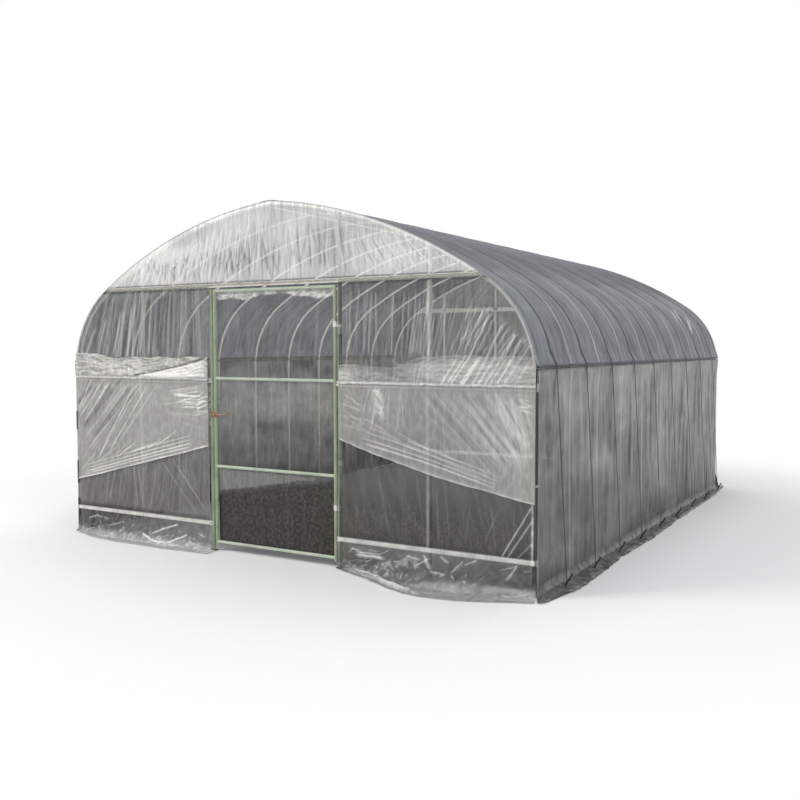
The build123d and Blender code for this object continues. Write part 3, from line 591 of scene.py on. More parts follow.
def front_panel(side):
    """The film between door post and hoop, from the top channel down to the skirt's edge."""
    right = side > 0
    name = "right" if right else "left"
    step = 0.0055 if right else 0.0062
    x_in = POST_X + 0.006
    nz, nx = int((TOP_Z - LOW_Z) / step), int((LEG_X - x_in) / step)
    zz, w = rows_down(TOP_Z, SKIRT_TOP, nz, int(0.33 / step))
    X = x_in + np.linspace(0, 1, nx) * (arch_x(zz, SLEEVE)[:, None] - x_in)
    Z, W = zz[:, None] + 0 * X, w[:, None] + 0 * X
    wall, skirt = W == 0, W > 0
    f = Field(X, Z)
    f.lay(PANEL_FAMILIES[side], PANEL_CREASES[side])

    # upper panel: upright gathers from the top channel
    up = smooth(Z, MID_Z + 0.02, MID_Z + 0.1) * (1 - over_rail(Z, TOP_Z))
    gather = ridged(X * 34, Z * 1.7 + 3 * noise(X * 3, Z, 5), 21 + side) * up
    f.h += 0.003 * gather
    f.haze += 0.12 * gather

    # lower panel
    low = smooth(MID_Z - 0.02 - Z, 0, 0.06) * smooth(Z, LOW_Z + 0.01, LOW_Z + 0.06)
    f.h += 0.006 * cloudy(X * 5, Z * 3.2, 31 + side) * low
    f.haze += 0.07 * ridged(X * 14 + Z * 3, Z * 3, 33 + side) * low

    # height: tight on the channels, calm on the stud and under the second layer
    to_hoop = arch_x(Z, SLEEVE) - X
    taut = on_channels(Z) * wall
    edge = smooth(X, x_in, x_in + 0.03) * smooth(to_hoop, 0, 0.035)
    h = f.h * (1 - taut) * edge * (1 - 0.7 * bump(X, STUD_X, 0.018))
    hem_z = hem_line(side, X)
    under = smooth(Z, hem_z - 0.02, hem_z + 0.02) * fall(Z, MID_Z + 0.06, MID_Z + 0.12)
    h = np.clip(h, -0.01, 0.013) * (1 - 0.85 * under)

    # haze: pale along the hoop and the stud; along the channels, a painted highlight on their lit faces and
    # painted shade just under them
    show = np.maximum(over_rail(Z, TOP_Z), over_rail(Z, LOW_Z)) * wall
    base = (0.1 if right else 0.15) * up + (0.05 if right else 0.22) * low
    hem = bump(to_hoop, 0.016, 0.0065) * smooth(1.06 - Z, 0, 0.1) * (0.75 + 0.6 * noise(0, Z * 30, 87))
    hem = hem * ((0.6 if right else 0.2) + (0.25 if right else 0) * smooth(0.5 - Z, 0, 0.1))
    rim = 0.55 * bump(to_hoop, 0.008, 0.006) * smooth(Z, 1.02, 1.1) * (1 - over_rail(Z, TOP_Z))
    low_line = (0.8 + 0.28 * noise(X * 11, 0, 89 + side)) * rail_line(Z, LOW_Z, 0.01)
    rail = (0.55 * rail_line(Z, TOP_Z) + low_line) * wall
    stud = (0.34 if right else 0.1) * bump(X, STUD_X, 0.01) * wall * (1 - show)
    haze = unit((base + f.haze) * (1 - show) + hem + rim + rail + stud)
    shade = unit(-rail)

    # skirt: out from the bottom channel and crumpled on the ground
    laid = Field(X, W * SKIRT_LENGTH)
    count = 46 if right else 30
    laid.scatter(rng, count, (0.54, 1.8), (0.02, 0.24), 0.3, (0.05, 0.16), (0.004, 0.007), 0.45, 0.003)
    laid.lay(SKIRT_FAMILIES[side], SKIRT_CREASES[side])
    crumple = np.clip(laid.h, 0, 0.024) + 0.006 * ridged(X * 9, W * 2.4 + X * 2, 51 + side)
    crumple = crumple * smooth(W, 0.03, 0.2) * (1 - 0.75 * smooth(W, 0.93, 1.0))
    reach = np.interp(X, *np.transpose(SKIRT_REACH[side])) - RAIL_FRONT - 0.0008
    yo, zo = turned_out(W, reach + 0.012 * cloudy(X * 4, 2.0, 77 + side))
    zo = zo + 0.0035 + crumple * (0.55 + 0.45 * smooth(W, 0.4, 0.7))
    ragged = smooth(W, 0.05, 0.3) * fall(W, 0.92, 1.0)
    yo = yo + 0.014 * cloudy(X * 9, W * 3, 53 + side) * ragged
    if right:
        flare = 0.05 * smooth(X, 1.55, 1.8) * W
        band = 0.52 - 0.16 * smooth(X, 1.0, 1.3)
        band_soft, band_haze = 0.12, 0.26 + 0.2 * smooth(X, 0.95, 1.25)
    else:
        flare = -0.06 * fall(X, 0.53, 0.7) * smooth(W, 0.25, 0.7)
        band, band_soft, band_haze = 0.32, 0.26, 0.55
    pale = smooth(W, band, band + band_soft) * fall(W, 0.975, 1.0)
    pale = pale * (0.75 + 0.5 * noise(X * 5, W * 8, 58 + side))
    mottled = 0.1 * ridged(X * 18, W * 5, 52 + side) + 0.1 * cloudy(X * 30, W * 12, 59 + side)
    sk_haze = (0.03 if right else 0.07) + laid.haze + mottled + band_haze * pale
    haze = np.where(skirt, np.clip(sk_haze, 0, 0.95), haze)

    # darkening: mud splashed up from the ground, and painted shade under the channels
    mud = fall(Z + 0.06 * noise(X * 2, Z * 2, 88), 0.3, 0.8)
    dirt = 0.8 * (1.0 if right else 0.6) * mud * wall * (1 - show)
    dirt = np.maximum(dirt, 0.8 * shade)
    dirt = np.where(skirt, (0.45 if right else 0.22) * fall(haze, 0.2, 0.5), dirt)
    dirt = dirt * (1 - unit(haze * 1.5))
    P = np.stack([side * (X + np.where(skirt, flare, 0)), -END_Y - np.where(skirt, yo, h),
                  np.where(skirt, np.maximum(zo, 0.0025), Z)], -1)
    film(f"film_front_{name}", P, film_front, f"front_film_{name}", (1.3, 2.05 if right else 1.92), "hung",
         ["front_top_rail", "front_mid_rails", "front_bottom_rails"], area=2.3 if right else 2.15,
         flip=right, haze=haze, dirt=dirt)


def front_flap(side):
    """The second layer of film over the middle channel, its edge rolled up along a slant."""
    right = side > 0
    name = "right" if right else "left"
    step = 0.0066
    x_in, x_out = POST_X + 0.01, LEG_X + 0.012
    a = x_in + np.linspace(0, 1, int((x_out - x_in) / step)) * (x_out - x_in)
    if right:
        top = 1.25 + 0.06 * smooth(a, 0.9, 1.15) + 0.018 * noise(a * 4, 0, 8) + 0.006 * noise(a * 15, 0, 18)
    else:
        top = 1.292 + 0.022 * noise(a * 4, 0, 3) + 0.008 * noise(a * 15, 0, 13) + 0.03 * smooth(a, 1.3, 1.8)
    hem = hem_line(side, a)
    v = np.linspace(0, 1, int(0.8 / step))
    Z = top + v[:, None] * (hem - top)
    X = a + 0 * Z
    f = Field(X, Z)
    f.lay(FLAP_FAMILIES[side], FLAP_CREASES[side])
    above = smooth(Z, MID_Z + 0.012, MID_Z + 0.03)
    below = smooth(MID_Z - 0.012 - Z, 0, 0.03)

    # gathered film above the middle channel
    k = 0.5 if right else 1.0
    warp = 2 * noise(X * 5, Z * 5, 6)
    rucks = ridged(X * 6, Z * 42 + warp, 61 + side)
    fine = ridged(X * 24, Z * 95 + warp, 62 + side)
    f.h += above * k * (0.007 * rucks + 0.004 * fine)
    f.haze += above * k * (0.34 * rucks + 0.26 * fine)
    if right:  # a crumpled knot that hangs from the channel
        knot = bump(X, 0.795 + 0.22 * (1.12 - Z), 0.026 + 0.1 * unit(Z - 1.04))
        knot = knot * smooth(Z, 0.9, 0.97) * below
        folds = ridged(X * 26 + Z * 14, Z * 34 + 2 * noise(X * 9, Z * 9, 76), 77)
        f.h += 0.006 * knot * folds
        f.haze += knot * (0.46 * folds + 0.06)
    f.h += 0.005 * cloudy(X * 4, Z * 3, 71 + side) * below
    f.haze += 0.08 * ridged(X * 16, Z * 9, 73 + side) * below

    # the rolled edge
    near = (1 - v)[:, None] * (top - hem)
    lumps = 0.75 + 0.7 * noise(X * 14, 1.5, 81 + side)
    f.h += 0.012 * np.exp(-((near / 0.01) ** 2)) * lumps
    f.haze += (0.3 if right else 0.6) * np.exp(-((near / 0.008) ** 2)) * lumps

    edge = smooth(X, x_in, x_in + 0.04) * smooth(x_out - X, 0, 0.03)
    taut = over_rail(Z, MID_Z, 0.005, 0.007)
    h = np.clip(0.0055 + np.clip(f.h, -0.003, 0.02) * edge * (1 - taut), 0.0018, 0.026)
    # the inner corner stays close to the wall, out of the door's way
    h = np.minimum(h, 0.004 + 0.3 * (X - x_in))

    # a thin uneven pale line where the film is pressed on the channel
    along = X + 0.04 * noise(X * 9, 0, 79 + side)
    line = rail_line(Z + 0.006 * noise(along * 12, 0, 78 + side), MID_Z + 0.004, 0.0012)
    line = np.maximum(line * (0.85 + 0.9 * noise(along * 26, 0, 80 + side)), 0)
    shade = 0.05 * noise(X * 2.1, Z * 2.3, 75 + side)
    gathered = 0.32 + 0.14 * smooth(X, 0.95, 1.25) if right else 0.43
    base = np.where(above > 0.5, gathered, (0.42 if right else 0.45) + shade)
    if right:
        base = base + 0.06 * smooth(X, 1.35, 1.75) * below + 0.25 * above * fall(X, 0.56, 0.7)
    else:
        base = base + 0.06 * smooth(Z, 0.82, 1.04) * below
    stud = 0.12 * bump(X, STUD_X, 0.01)
    haze = unit((base + f.haze + stud) * (1 - 0.3 * taut) + 0.52 * line)

    # thin at its upper edge, dense where it is pressed on the channel
    touch = -0.75 * over_rail(Z, MID_Z, 0.016, 0.005)
    thin = smooth(Z - top, -0.055 - 0.03 * noise(X * 6, 0, 83 + side), 0)
    touch = touch + (0.9 if right else 0.3) * thin
    P = np.stack([side * X, -END_Y - h, Z], -1)
    film(f"film_flap_{name}", P, film_front, None, (1.29, 0.78 if right else 0.88), "hung",
         ["front_mid_rails"], area=0.76 if right else 0.94, flip=right, haze=haze, touch=touch)


def gable():
    """The film above the front's top channel, gathered into it."""
    step = 0.0068
    x_end = float(arch_x(TOP_Z, SLEEVE)) - 0.002
    x = np.linspace(-x_end, x_end, int(2 * x_end / step))
    v = np.linspace(0, 1, int(0.5 / step))
    top = arch_z(x, SLEEVE) - 0.001
    Z = TOP_Z + v[:, None] * (top - TOP_Z)
    X = x + 0 * Z
    rise = top - Z
    f = Field(X, Z)
    fold = ridged(X * 30, Z * 2.0 + X, 91)
    fine = ridged(X * 64, Z * 6.0, 92)
    f.h += 0.004 * fold + 0.0018 * fine
    f.haze += 0.1 * fold + 0.12 * fine
    f.lay((
        (46, (-1.35, 1.78, -0.05, 1.78), (-1.22, 1.94, 0.0, 2.22), 0.006, 0.005, 0.22, 0.02, 0.2),
        (70, (-1.0, 1.79, 0.6, 1.79), (-0.95, 1.96, 0.55, 2.16), 0.0065, -0.003, -0.18, 0.02, 0.3),
        (40, (-1.1, 1.84, 0.9, 1.84), (-1.05, 1.96, 0.85, 2.06), 0.007, 0.004, -0.16, 0.04, 0.3),
        (46, (0.1, 1.78, 1.4, 1.78), (0.1, 2.18, 1.15, 1.96), 0.0045, 0.003, 0.13, 0.02, 0.25),
    ))
    taut = over_rail(Z, TOP_Z)
    h = np.clip(f.h * smooth(rise, 0, 0.03) * (1 - taut), -0.01, 0.013)
    left = fall(X, -0.5, 0.7)
    pale = 0.22 * bump(X, -0.95, 0.35) * bump(Z, 1.98, 0.12)
    haze = unit(0.66 + 0.03 * left + pale + 0.16 * noise(X * 3, Z * 4, 95) + f.haze) * (1 - 0.45 * taut)
    haze = unit(haze + 0.25 * bump(rise, 0.01, 0.007))
    touch = np.maximum(taut, 0.5 * fall(rise, 0.004, 0.02))
    P = np.stack([X, -END_Y - h, Z], -1)
    film("film_gable", P, film_gable, "front_gable_film", (2.98, 0.53), "stretched", ["front_top_rail"],
         area=1.06, haze=haze, touch=touch)


BACK_REACH = ((-1.83, 0.14), (-1.48, 0.27), (-1.24, 0.32), (-1.0, 0.262), (-0.76, 0.135), (-0.52, 0.06),
              (0, 0.11), (0.52, 0.13), (0.9, 0.153), (1.33, 0.158), (1.83, 0.136))


def back_wall():
    """One film over the whole far end, down to its skirt."""
    step = 0.0145
    x_end = LEG_X + 0.0127
    x = np.linspace(-x_end, x_end, int(2 * x_end / step))
    top = np.minimum(arch_z(x, SLEEVE), RIDGE + 0.0018)
    top = np.where(np.abs(x) > LEG_X - 1e-4, np.minimum(top, 1.3), top) - 0.001
    v, w = rows_down(0, 1, int(2.05 / step), int(0.3 / step))
    Z = top + v[:, None] * (SKIRT_TOP - top)
    X, W = x + 0 * Z, w[:, None] + 0 * Z
    wall, skirt = W == 0, W > 0
    rise = top - Z
    f = Field(X, Z)
    fold = ridged(X * 12, Z * 1.2 + X, 101)
    f.h += 0.007 * fold + 0.005 * cloudy(X * 5, Z * 3, 102)
    f.haze += 0.22 * fold
    f.lay((
        (40, (-1.5, 1.74, 1.5, 1.74), (-1.6, 1.2, 1.6, 1.2), 0.016, 0.008, 0.22, 0.03),
        (26, (-1.6, 1.12, 1.6, 1.12), (-1.7, 0.3, 1.5, 0.3), 0.016, 0.007, 0.16, 0.05),
        (30, (-1.3, 1.78, 1.3, 1.78), (-1.0, 2.05, 1.0, 2.05), 0.014, 0.006, 0.2, 0.03),
    ))
    taut = on_channels(Z) * wall
    edge = smooth(rise, 0, 0.04) * smooth(x_end - np.abs(X), 0, 0.05)
    h = np.clip(f.h * edge * (1 - taut), -0.01, 0.016)

    reach = np.interp(X, *np.transpose(BACK_REACH)) - RAIL_FRONT - 0.0008
    yo, zo = turned_out(W, reach + 0.01 * cloudy(X * 4, 5.0, 177))
    laid = Field(X, W * SKIRT_LENGTH)
    draw = np.random.default_rng(23)
    laid.scatter(draw, 90, (-1.75, 1.75), (0.02, 0.28), 0.35, (0.06, 0.2), (0.005, 0.009), 0.5)
    pleat = ridged(X * 15, W * 1.1 + X * 1.5, 151)
    ridge = unit(0.3 * pleat + 50 * np.clip(laid.h, 0, 0.014))
    zo = zo + 0.0035 + 0.02 * ridge * smooth(W, 0.05, 0.3) * (1 - 0.75 * smooth(W, 0.9, 1.0))
    pale = smooth(W, 0.45, 0.7) * fall(W, 0.975, 1.0) * (0.75 + 0.5 * noise(X * 5, W * 8, 152))
    sk_haze = 0.08 + laid.haze + 0.12 * pleat + 0.1 * ridged(X * 22, W * 3.5, 153) + 0.34 * pale

    haze = unit(0.1 + 0.2 * smooth(Z, TOP_Z, TOP_Z + 0.02) + f.haze) * (1 - 0.5 * taut)
    haze = np.where(skirt, np.clip(sk_haze, 0, 0.9), haze)
    dirt = np.where(skirt, 0.2, 0.35 * fall(Z, 0.25, 0.7)) * (1 - unit(haze * 1.5))
    P = np.stack([X + 0.05 * np.sign(X) * smooth(np.abs(X), 1.55, 1.8) * W, END_Y + np.where(skirt, yo, h),
                  np.where(skirt, np.maximum(zo, 0.0025), Z)], -1)
    film("film_back", P, film_back, "back_film", (3.62, 2.45), "hung",
         ["back_top_rail", "back_mid_rail", "back_bottom_rail"], area=7.9,
         flip=True, haze=haze, touch=taut, dirt=dirt)


# ---- roof and sides

SAG = 0.01  # how far a band draws the film in, in the middle of a bay
FILM_END_Y = HALF + 0.0267
EAVE_FACE = 1.8131
# the film's way into the eave channel's mouth, (outwards, away from the channel's middle)
EAVE_LAP = ((-0.01, 0.0035), (-0.0015, 0.0058), (0.0, 0.0072), (0.0, 0.0122), (-0.0012, 0.016))


def bay(y):
    """0 on a hoop, 1 under a band."""
    t = np.mod(np.asarray(y, float) + HALF, PITCH) / PITCH
    inside = (np.abs(y) <= HALF).astype(float)
    return (1 - np.abs(2 * t - 1)) ** 1.1 * inside


def roof_offset(s_from_ridge, y):
    """From the hoop's centreline to the roof film, which rides over the ridge sleeves."""
    sleeve = fall(s_from_ridge, 0.055, 0.085) * fall(bay(y), 0.05, 0.15)
    return PIPE_R + 0.0008 + 0.0026 * sleeve - SAG * bay(y)


def rows_along(count, *extra):
    """Places along the length, evenly spaced, with more where something crosses."""
    even = np.linspace(-FILM_END_Y, FILM_END_Y, count)
    return np.unique(np.round(np.concatenate([even, *extra]), 5))


def eave_lap(ys, up):
    """Rows of film in the eave channel's mouth, above its middle or, with up at -1, below it."""
    return np.array([[(EAVE_FACE + dx, y, EAVE_Z + up * dz) for y in ys] for dx, dz in EAVE_LAP])


def with_lap(values, at_lap=0.0):
    """Marks with the lap's rows put first."""
    return np.concatenate([np.full((len(EAVE_LAP), values.shape[1]), at_lap), values], 0)


def roof():
    """One film over all the hoops, drawn in between them by the bands."""
    line, s = arch_line(EAVE_Z + 0.0205, 135)
    beside = (HOOPS - 0.006, HOOPS + 0.006, BANDS - 0.008, BANDS + 0.008)
    ys = rows_along(300, HOOPS, BANDS, *beside)
    S, Y = np.meshgrid(s, ys, indexing="ij")
    ripple = ridged(S * 3, Y * 26 + 2 * noise(S * 2, Y * 2, 7), 111)
    rip = (0.0022 * ripple + 0.004 * cloudy(S * 2.2, Y * 5, 112)) * smooth(S, 0.0, 0.08)
    rip = rip * smooth(bay(Y), 0.08, 0.35) * fall(bay(Y), 0.88, 0.98)
    off = roof_offset(s[-1] - S, Y) + rip
    fade = smooth(S, 0, 0.07)
    off = off * fade + (PIPE_R + 0.011) * (1 - fade)
    x = line[:, 0][:, None] + line[:, 2][:, None] * off
    z = line[:, 1][:, None] + line[:, 3][:, None] * off
    right = np.concatenate([eave_lap(ys, 1), np.stack([x, Y, z], -1)], 0)
    left = right * (-1, 1, 1)
    P = np.concatenate([right, left[::-1][1:]], 0)

    # paler low down and near the ridge, with the hoops drawn through, a painted shade line beside each hoop,
    # and the ends edged
    low_roof = fall(S, 0.45, 1.1)
    hz = (0.06 + 0.16 * ripple + 0.12 * cloudy(S * 1.3, Y * 2.5, 113)) * (0.55 + 0.45 * low_roof)
    hz = hz + 0.09 * low_roof + 0.14 * cloudy(S * 6, Y * 9, 114) * low_roof
    hz = hz + 0.14 * smooth(S, 1.25, 1.85) - 0.1 * bump(S, 0.95, 0.26)
    on_hoop = fall(bay(Y), 0.025, 0.055)
    hz = hz + (0.08 + 0.32 * low_roof) * on_hoop - 0.1 * bump(bay(Y), 0.085, 0.022)
    hz = hz - 0.3 * bump(np.abs(Y), HALF, 0.035) + 0.35 * smooth(np.abs(Y), HALF + 0.014, HALF + 0.022)
    hz = unit(with_lap(hz, 0.1))

    # painted highlight: three short pale strokes on the far right shoulder, where creases catch the light;
    # and a painted warm lightening over the lower third
    catch = 0
    for at_y, at_s, strong in ((1.48, 0.42, 0.85), (1.62, 0.3, 0.7), (1.3, 0.4, 0.45)):
        slant = (Y - at_y) - 0.9 * (S - at_s)
        catch = catch + strong * bump(slant, 0, 0.034) * bump(S, at_s, 0.075)
    warm = with_lap(0.036 * low_roof)
    glint = np.maximum(with_lap(np.clip(catch, 0, 0.8)), warm)
    film("film_roof", P, film_roof, "roof_film", (4.553, 4.5), "stretched",
         [f"hoop_{i:02d}" for i in range(1, 11)],
         haze=np.concatenate([hz, hz[::-1][1:]]), glint=np.concatenate([glint, warm[::-1][1:]]))


# how far the side skirts reach out, (y, reach)
SIDE_REACH = ((-HALF - 0.14, 0.0), (-HALF - 0.09, 0.07), (-HALF + 0.2, 0.146), (-HALF + 0.69, 0.14),
              (-HALF + 1.2, 0.112), (-HALF + 1.84, 0.126), (-HALF + 2.6, 0.106), (HALF - 1.1, 0.1),
              (HALF - 0.4, 0.09), (HALF + 0.09, 0.06), (HALF + 0.14, 0.0))


def side_wall(side):
    """The film from the eave channel down a side, with its skirt."""
    right = side > 0
    name = "right" if right else "left"
    step = 0.0125 if right else 0.018
    ys = rows_along(int(2 * FILM_END_Y / step), HOOPS)
    z0, z1 = EAVE_Z - 0.02, 0.055
    z, w = rows_down(z0, z1, int((z0 - z1) / step), 26)
    Z, Y = np.meshgrid(z, ys, indexing="ij")
    W = w[:, None] + 0 * Z
    skirt = W > 0
    seed = 240 if right else 200
    depth = z0 - Z
    fold = ridged(Y * 7, Z * 1.1 + Y * 0.6, seed) - 0.35
    wave = noise(Y * 3.1, Z * 1.3, seed + 1)
    pleat = ridged(Y * 17, Z * 0.9 + Y, seed + 2) - 0.3
    loose = 0.008 * fold + 0.009 * wave + 0.0035 * pleat - 0.002
    off = PIPE_R + 0.0014 + smooth(bay(Y), 0.05, 0.5) * loose + 0.006 * smooth(depth, 0.5, 1.15)
    head = fall(depth, 0.0, 0.16)
    off = np.maximum(off * (1 - head) + (PIPE_R + 0.011) * head, -0.012)

    # skirt, whose corners turn round the ends
    reach = np.interp(Y, *np.transpose(SIDE_REACH)) + 0.01 * cloudy(Y * 4, 1, seed + 3)
    if not right:
        reach = 0.4 * reach * smooth(Y, -FILM_END_Y + 0.02, -FILM_END_Y + 0.4)
    reach = np.maximum(reach, 0.03 if right else 0.012)
    t = unit(W / 0.35)
    crumple = 0.75 * ridged(Y * 13, W + Y * 1.7, seed + 4)
    crumple = crumple + 0.45 * ridged(Y * 31, W * 2.6 - Y * 3, seed + 5)
    xo = reach * np.where(W < 0.35, 0.16 * t**1.6, 0.16 + 0.84 * (W - 0.35) / 0.65)
    lumps = 0.014 * crumple * smooth(W, 0.15, 0.45) * (1 - 0.7 * smooth(W, 0.9, 1))
    zo = np.where(W < 0.35, z1 * (1 - t) ** 1.2, 0) + 0.003 + lumps
    ends = smooth(np.abs(Y), FILM_END_Y - 0.22, FILM_END_Y) * np.sign(Y)
    past = ends * (0.115 if right else 0.02) * smooth(W, 0.25, 0.8) * (1 - 0.45 * smooth(W, 0.8, 1.0))
    X = LEG_X + off + np.where(skirt, xo, 0)

    cloud = cloudy(Y * 1.7, Z * 2.6, seed + 7)
    haze = 0.12 + 0.12 * unit(fold + 0.35) + 0.12 * unit(pleat + 0.3) + 0.07 * wave
    haze = haze + 0.1 * smooth(Z, 0.7, 1.15) + 0.34 * cloud + 0.16 * cloudy(Y * 9, Z * 9, seed + 9)
    haze = haze - 0.1 * smooth(Y, -1.5, 2.2)
    lap = fall(np.abs(Z - 0.66 + 0.03 * noise(Y * 2, 0, seed + 8)), 0.0, 0.1)
    on_hoop = fall(bay(Y), 0.025, 0.055)
    # beside is a painted shade line along each side of a hoop: less haze there, and more of the mud and
    # shade mark
    beside = bump(bay(Y), 0.085, 0.022)
    haze = np.where(skirt, 0.08 + 0.34 * crumple, haze + 0.05 * lap + 0.34 * on_hoop - 0.14 * beside)
    touch = np.where(skirt, 0, 0.15 * on_hoop)
    ground = bump(Z, 0.46 + 0.05 * noise(Y * 1.6, 0, seed + 11), 0.12)
    ground = ground * (0.75 + 0.9 * noise(Y * 1.1, Z * 2, seed + 12))
    low = fall(Z + 0.1 * cloud, 0.15, 0.75)
    stains = smooth(cloudy(Y * 1.3, Z * 3, seed + 6), 0.05, 0.5)
    dirt = 0.3 * low + 0.34 * ground + 0.3 * stains + 0.25 * beside
    dirt = np.where(skirt, 0.24 + 0.5 * smooth(W, 0.93, 1.0), dirt)
    P = np.stack([X, Y + np.where(skirt, past, 0), np.where(skirt, np.maximum(zo, 0.0025), Z)], -1)
    P = np.concatenate([eave_lap(ys, -1), P], 0) * (side, 1, 1)
    film(f"film_side_{name}", P, film_side, f"side_film_{name}", (4.56, 1.38), "hung", [f"eave_rail_{name}"],
         flip=not right, haze=with_lap(unit(haze), 0.1), touch=with_lap(touch), dirt=with_lap(dirt))


# ---- door

DOOR_RAILS = (0.062, 0.57, 1.155)


def door_panel():
    """The door's film, with spare film bunched under its head and soil splashed on its foot."""
    step = 0.0085
    x_end = 0.4705
    z0, z1 = 1.7335, 0.046
    x = np.linspace(-x_end, x_end, int(2 * x_end / step))
    z = np.linspace(z0, z1, int((z0 - z1) / step))
    Z, X = np.meshgrid(z, x, indexing="ij")
    f = Field(X, Z)
    f.h += 0.004 * cloudy(X * 5, Z * 2.4, 301)
    f.haze += 0.05 * ridged(X * 10, Z * 2, 302)
    f.lay((
        (14, (-0.45, 1.7, 0.45, 1.7), (-0.42, 1.2, 0.42, 1.2), 0.009, 0.003, 0.1, 0.03),
        (9, (-0.45, 1.12, 0.45, 1.12), (-0.4, 0.62, 0.4, 0.62), 0.01, 0.003, 0.07, 0.04),
        (7, (-0.45, 0.55, 0.45, 0.55), (-0.4, 0.1, 0.4, 0.1), 0.01, 0.003, 0.06, 0.04),
    ))
    low_edge = 1.682 + 0.03 * noise(X * 7, 0, 305) + 0.014 * np.cos(X * 9)
    head = smooth(Z, low_edge - 0.006, low_edge + 0.012)
    ruck = ridged(X * 13, Z * 45 + 3 * noise(X * 5, Z * 6, 306), 307)
    f.h += head * 0.006 * ruck
    f.haze += head * (0.5 + 0.6 * ruck) * (0.85 + 0.5 * noise(X * 11, Z * 30, 309))
    edge = smooth(x_end - np.abs(X), 0, 0.02) * smooth(z0 - Z, 0, 0.01) * smooth(Z - z1, 0, 0.02)
    h = np.clip(f.h, -0.004, 0.006) * edge
    on_rail = np.maximum.reduce([fall(np.abs(Z - q), 0.006, 0.012) for q in DOOR_RAILS])
    middle_panel = smooth(Z, 0.5, 0.72) * fall(Z, 1.13, 1.2)
    haze = unit(0.05 + f.haze + middle_panel * (0.09 + 0.1 * cloudy(X * 7, Z * 11, 311)))
    soil = 0.39 + 0.16 * (X + x_end) / (2 * x_end) + 0.012 * noise(X * 9, 0, 308)
    above = smooth(Z, soil, soil + 0.02) * fall(Z, 0.54, 0.58)
    haze = unit(haze + 0.25 * above + 0.1 * smooth(Z, 0.84, 0.98) * middle_panel)
    dirt = 0.96 * fall(Z, soil - 0.025, soil + 0.012) + 0.3 * bump(Z, 0.71, 0.09)
    dirt = dirt * (1 - unit(haze * 0.9))
    P = np.stack([X, -HALF + 0.0135 + np.maximum(h, -0.0005), Z], -1)
    film("film_door", P, film_front, "door_film", (0.945, 1.69), "stretched", ["door_rails"], body="door",
         haze=haze, touch=0.3 * on_rail, dirt=dirt)


for side in (-1, 1):
    front_panel(side)
    front_flap(side)
    side_wall(side)
gable()
back_wall()
roof()
door_panel()

# ---- bands, drawn tight over the film

PEG_LEAN = math.radians(60)
TIE_Z = 0.03  # where a band is tied to its peg
PEG_X = 1.866  # where a peg's line meets the ground
BAND_HALF, BAND_THICK = 0.007, 0.0012
BAND_X = 1.814  # where a band runs down over the eave channel


def bands():
    line, s = arch_line(EAVE_Z + 0.1, 60)
    tie = np.array([PEG_X + TIE_Z / math.tan(PEG_LEAN), TIE_Z])
    edge = np.array([BAND_X, EAVE_Z - RAIL_HALF])
    up = (edge - tie) / np.linalg.norm(edge - tie)
    foot = tie + up * 0.0066 / math.sin(math.atan2(up[1], up[0]) - PEG_LEAN)
    outwards = (up[1], -up[0])
    low = [(*foot, *outwards), (*(0.6 * foot + 0.4 * edge), *outwards)]
    low += [(*edge, 1, 0), (BAND_X, EAVE_Z + RAIL_HALF, 1, 0)]
    section = ((-BAND_HALF, 0), (BAND_HALF, 0), (BAND_HALF, BAND_THICK), (-BAND_HALF, BAND_THICK))
    parts = []
    for y in BANDS:
        off = roof_offset(s[-1] - s, y) + 0.0006
        rows = low + [(x + nx * d, z + nz * d, nx, nz) for (x, z, nx, nz), d in zip(line, off)]
        rows += [(-x, z, -nx, nz) for x, z, nx, nz in rows[-2::-1]]
        verts = [(x + nx * dn, y + dy, z + nz * dn) for x, z, nx, nz in rows for dy, dn in section]
        parts.append((verts, ring_faces(len(rows))))
    o = loose_parts("bands", parts, "band_webbing")
    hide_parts("roof_bands")


bands()

# ---- locking wires in the channels


def zigzag(x0, x1, y, z):
    """A wire bent up and down along a channel, which bows off the film at each crossing."""
    steps = 2 * int(abs(x1 - x0) / 0.03)
    points = []
    for i in range(steps + 1):
        x = x0 + (x1 - x0) * i / steps
        swing = 0.0052 if i % 4 else -0.0052
        points.append((x, y + math.copysign(0.001, y), z) if i % 2 else (x, y, z + swing))
    return wire_parts(points, 0.0011)


def wires():
    reach = float(arch_x(TOP_Z + RAIL_HALF, PIPE_R)) - 0.01
    runs = [(-reach, reach, TOP_Z)]
    runs += [(side * 0.505, side * 1.795, z) for z in (MID_Z, LOW_Z) for side in (-1, 1)]
    y = HALF + RAIL_FRONT + 0.0006
    parts = [zigzag(x0, x1, end * y, z) for x0, x1, z in runs for end in (-1, 1)]
    loose_parts("lock_wires", parts, "lock_wire", shade_smooth=True)


wires()

# ---- plastic clips over the film; the dark ones also paint in shade

CORNER_X = 1.7978
CLIP_THICK = 0.0022
CLIP_SIDES = 14


def clip_parts(x, y, z0, z1, radius, facing, open_half):
    """A C-shaped strip round a pipe, its mouth turned away from facing (degrees in plan)."""
    turns = np.radians(np.linspace(facing - 180 + open_half, facing + 180 - open_half, CLIP_SIDES))
    section = ((radius, z0), (radius + CLIP_THICK, z0), (radius + CLIP_THICK, z1), (radius, z1))
    verts = [(x + r * math.cos(t), y + r * math.sin(t), z) for t in turns for r, z in section]
    return verts, ring_faces(CLIP_SIDES)


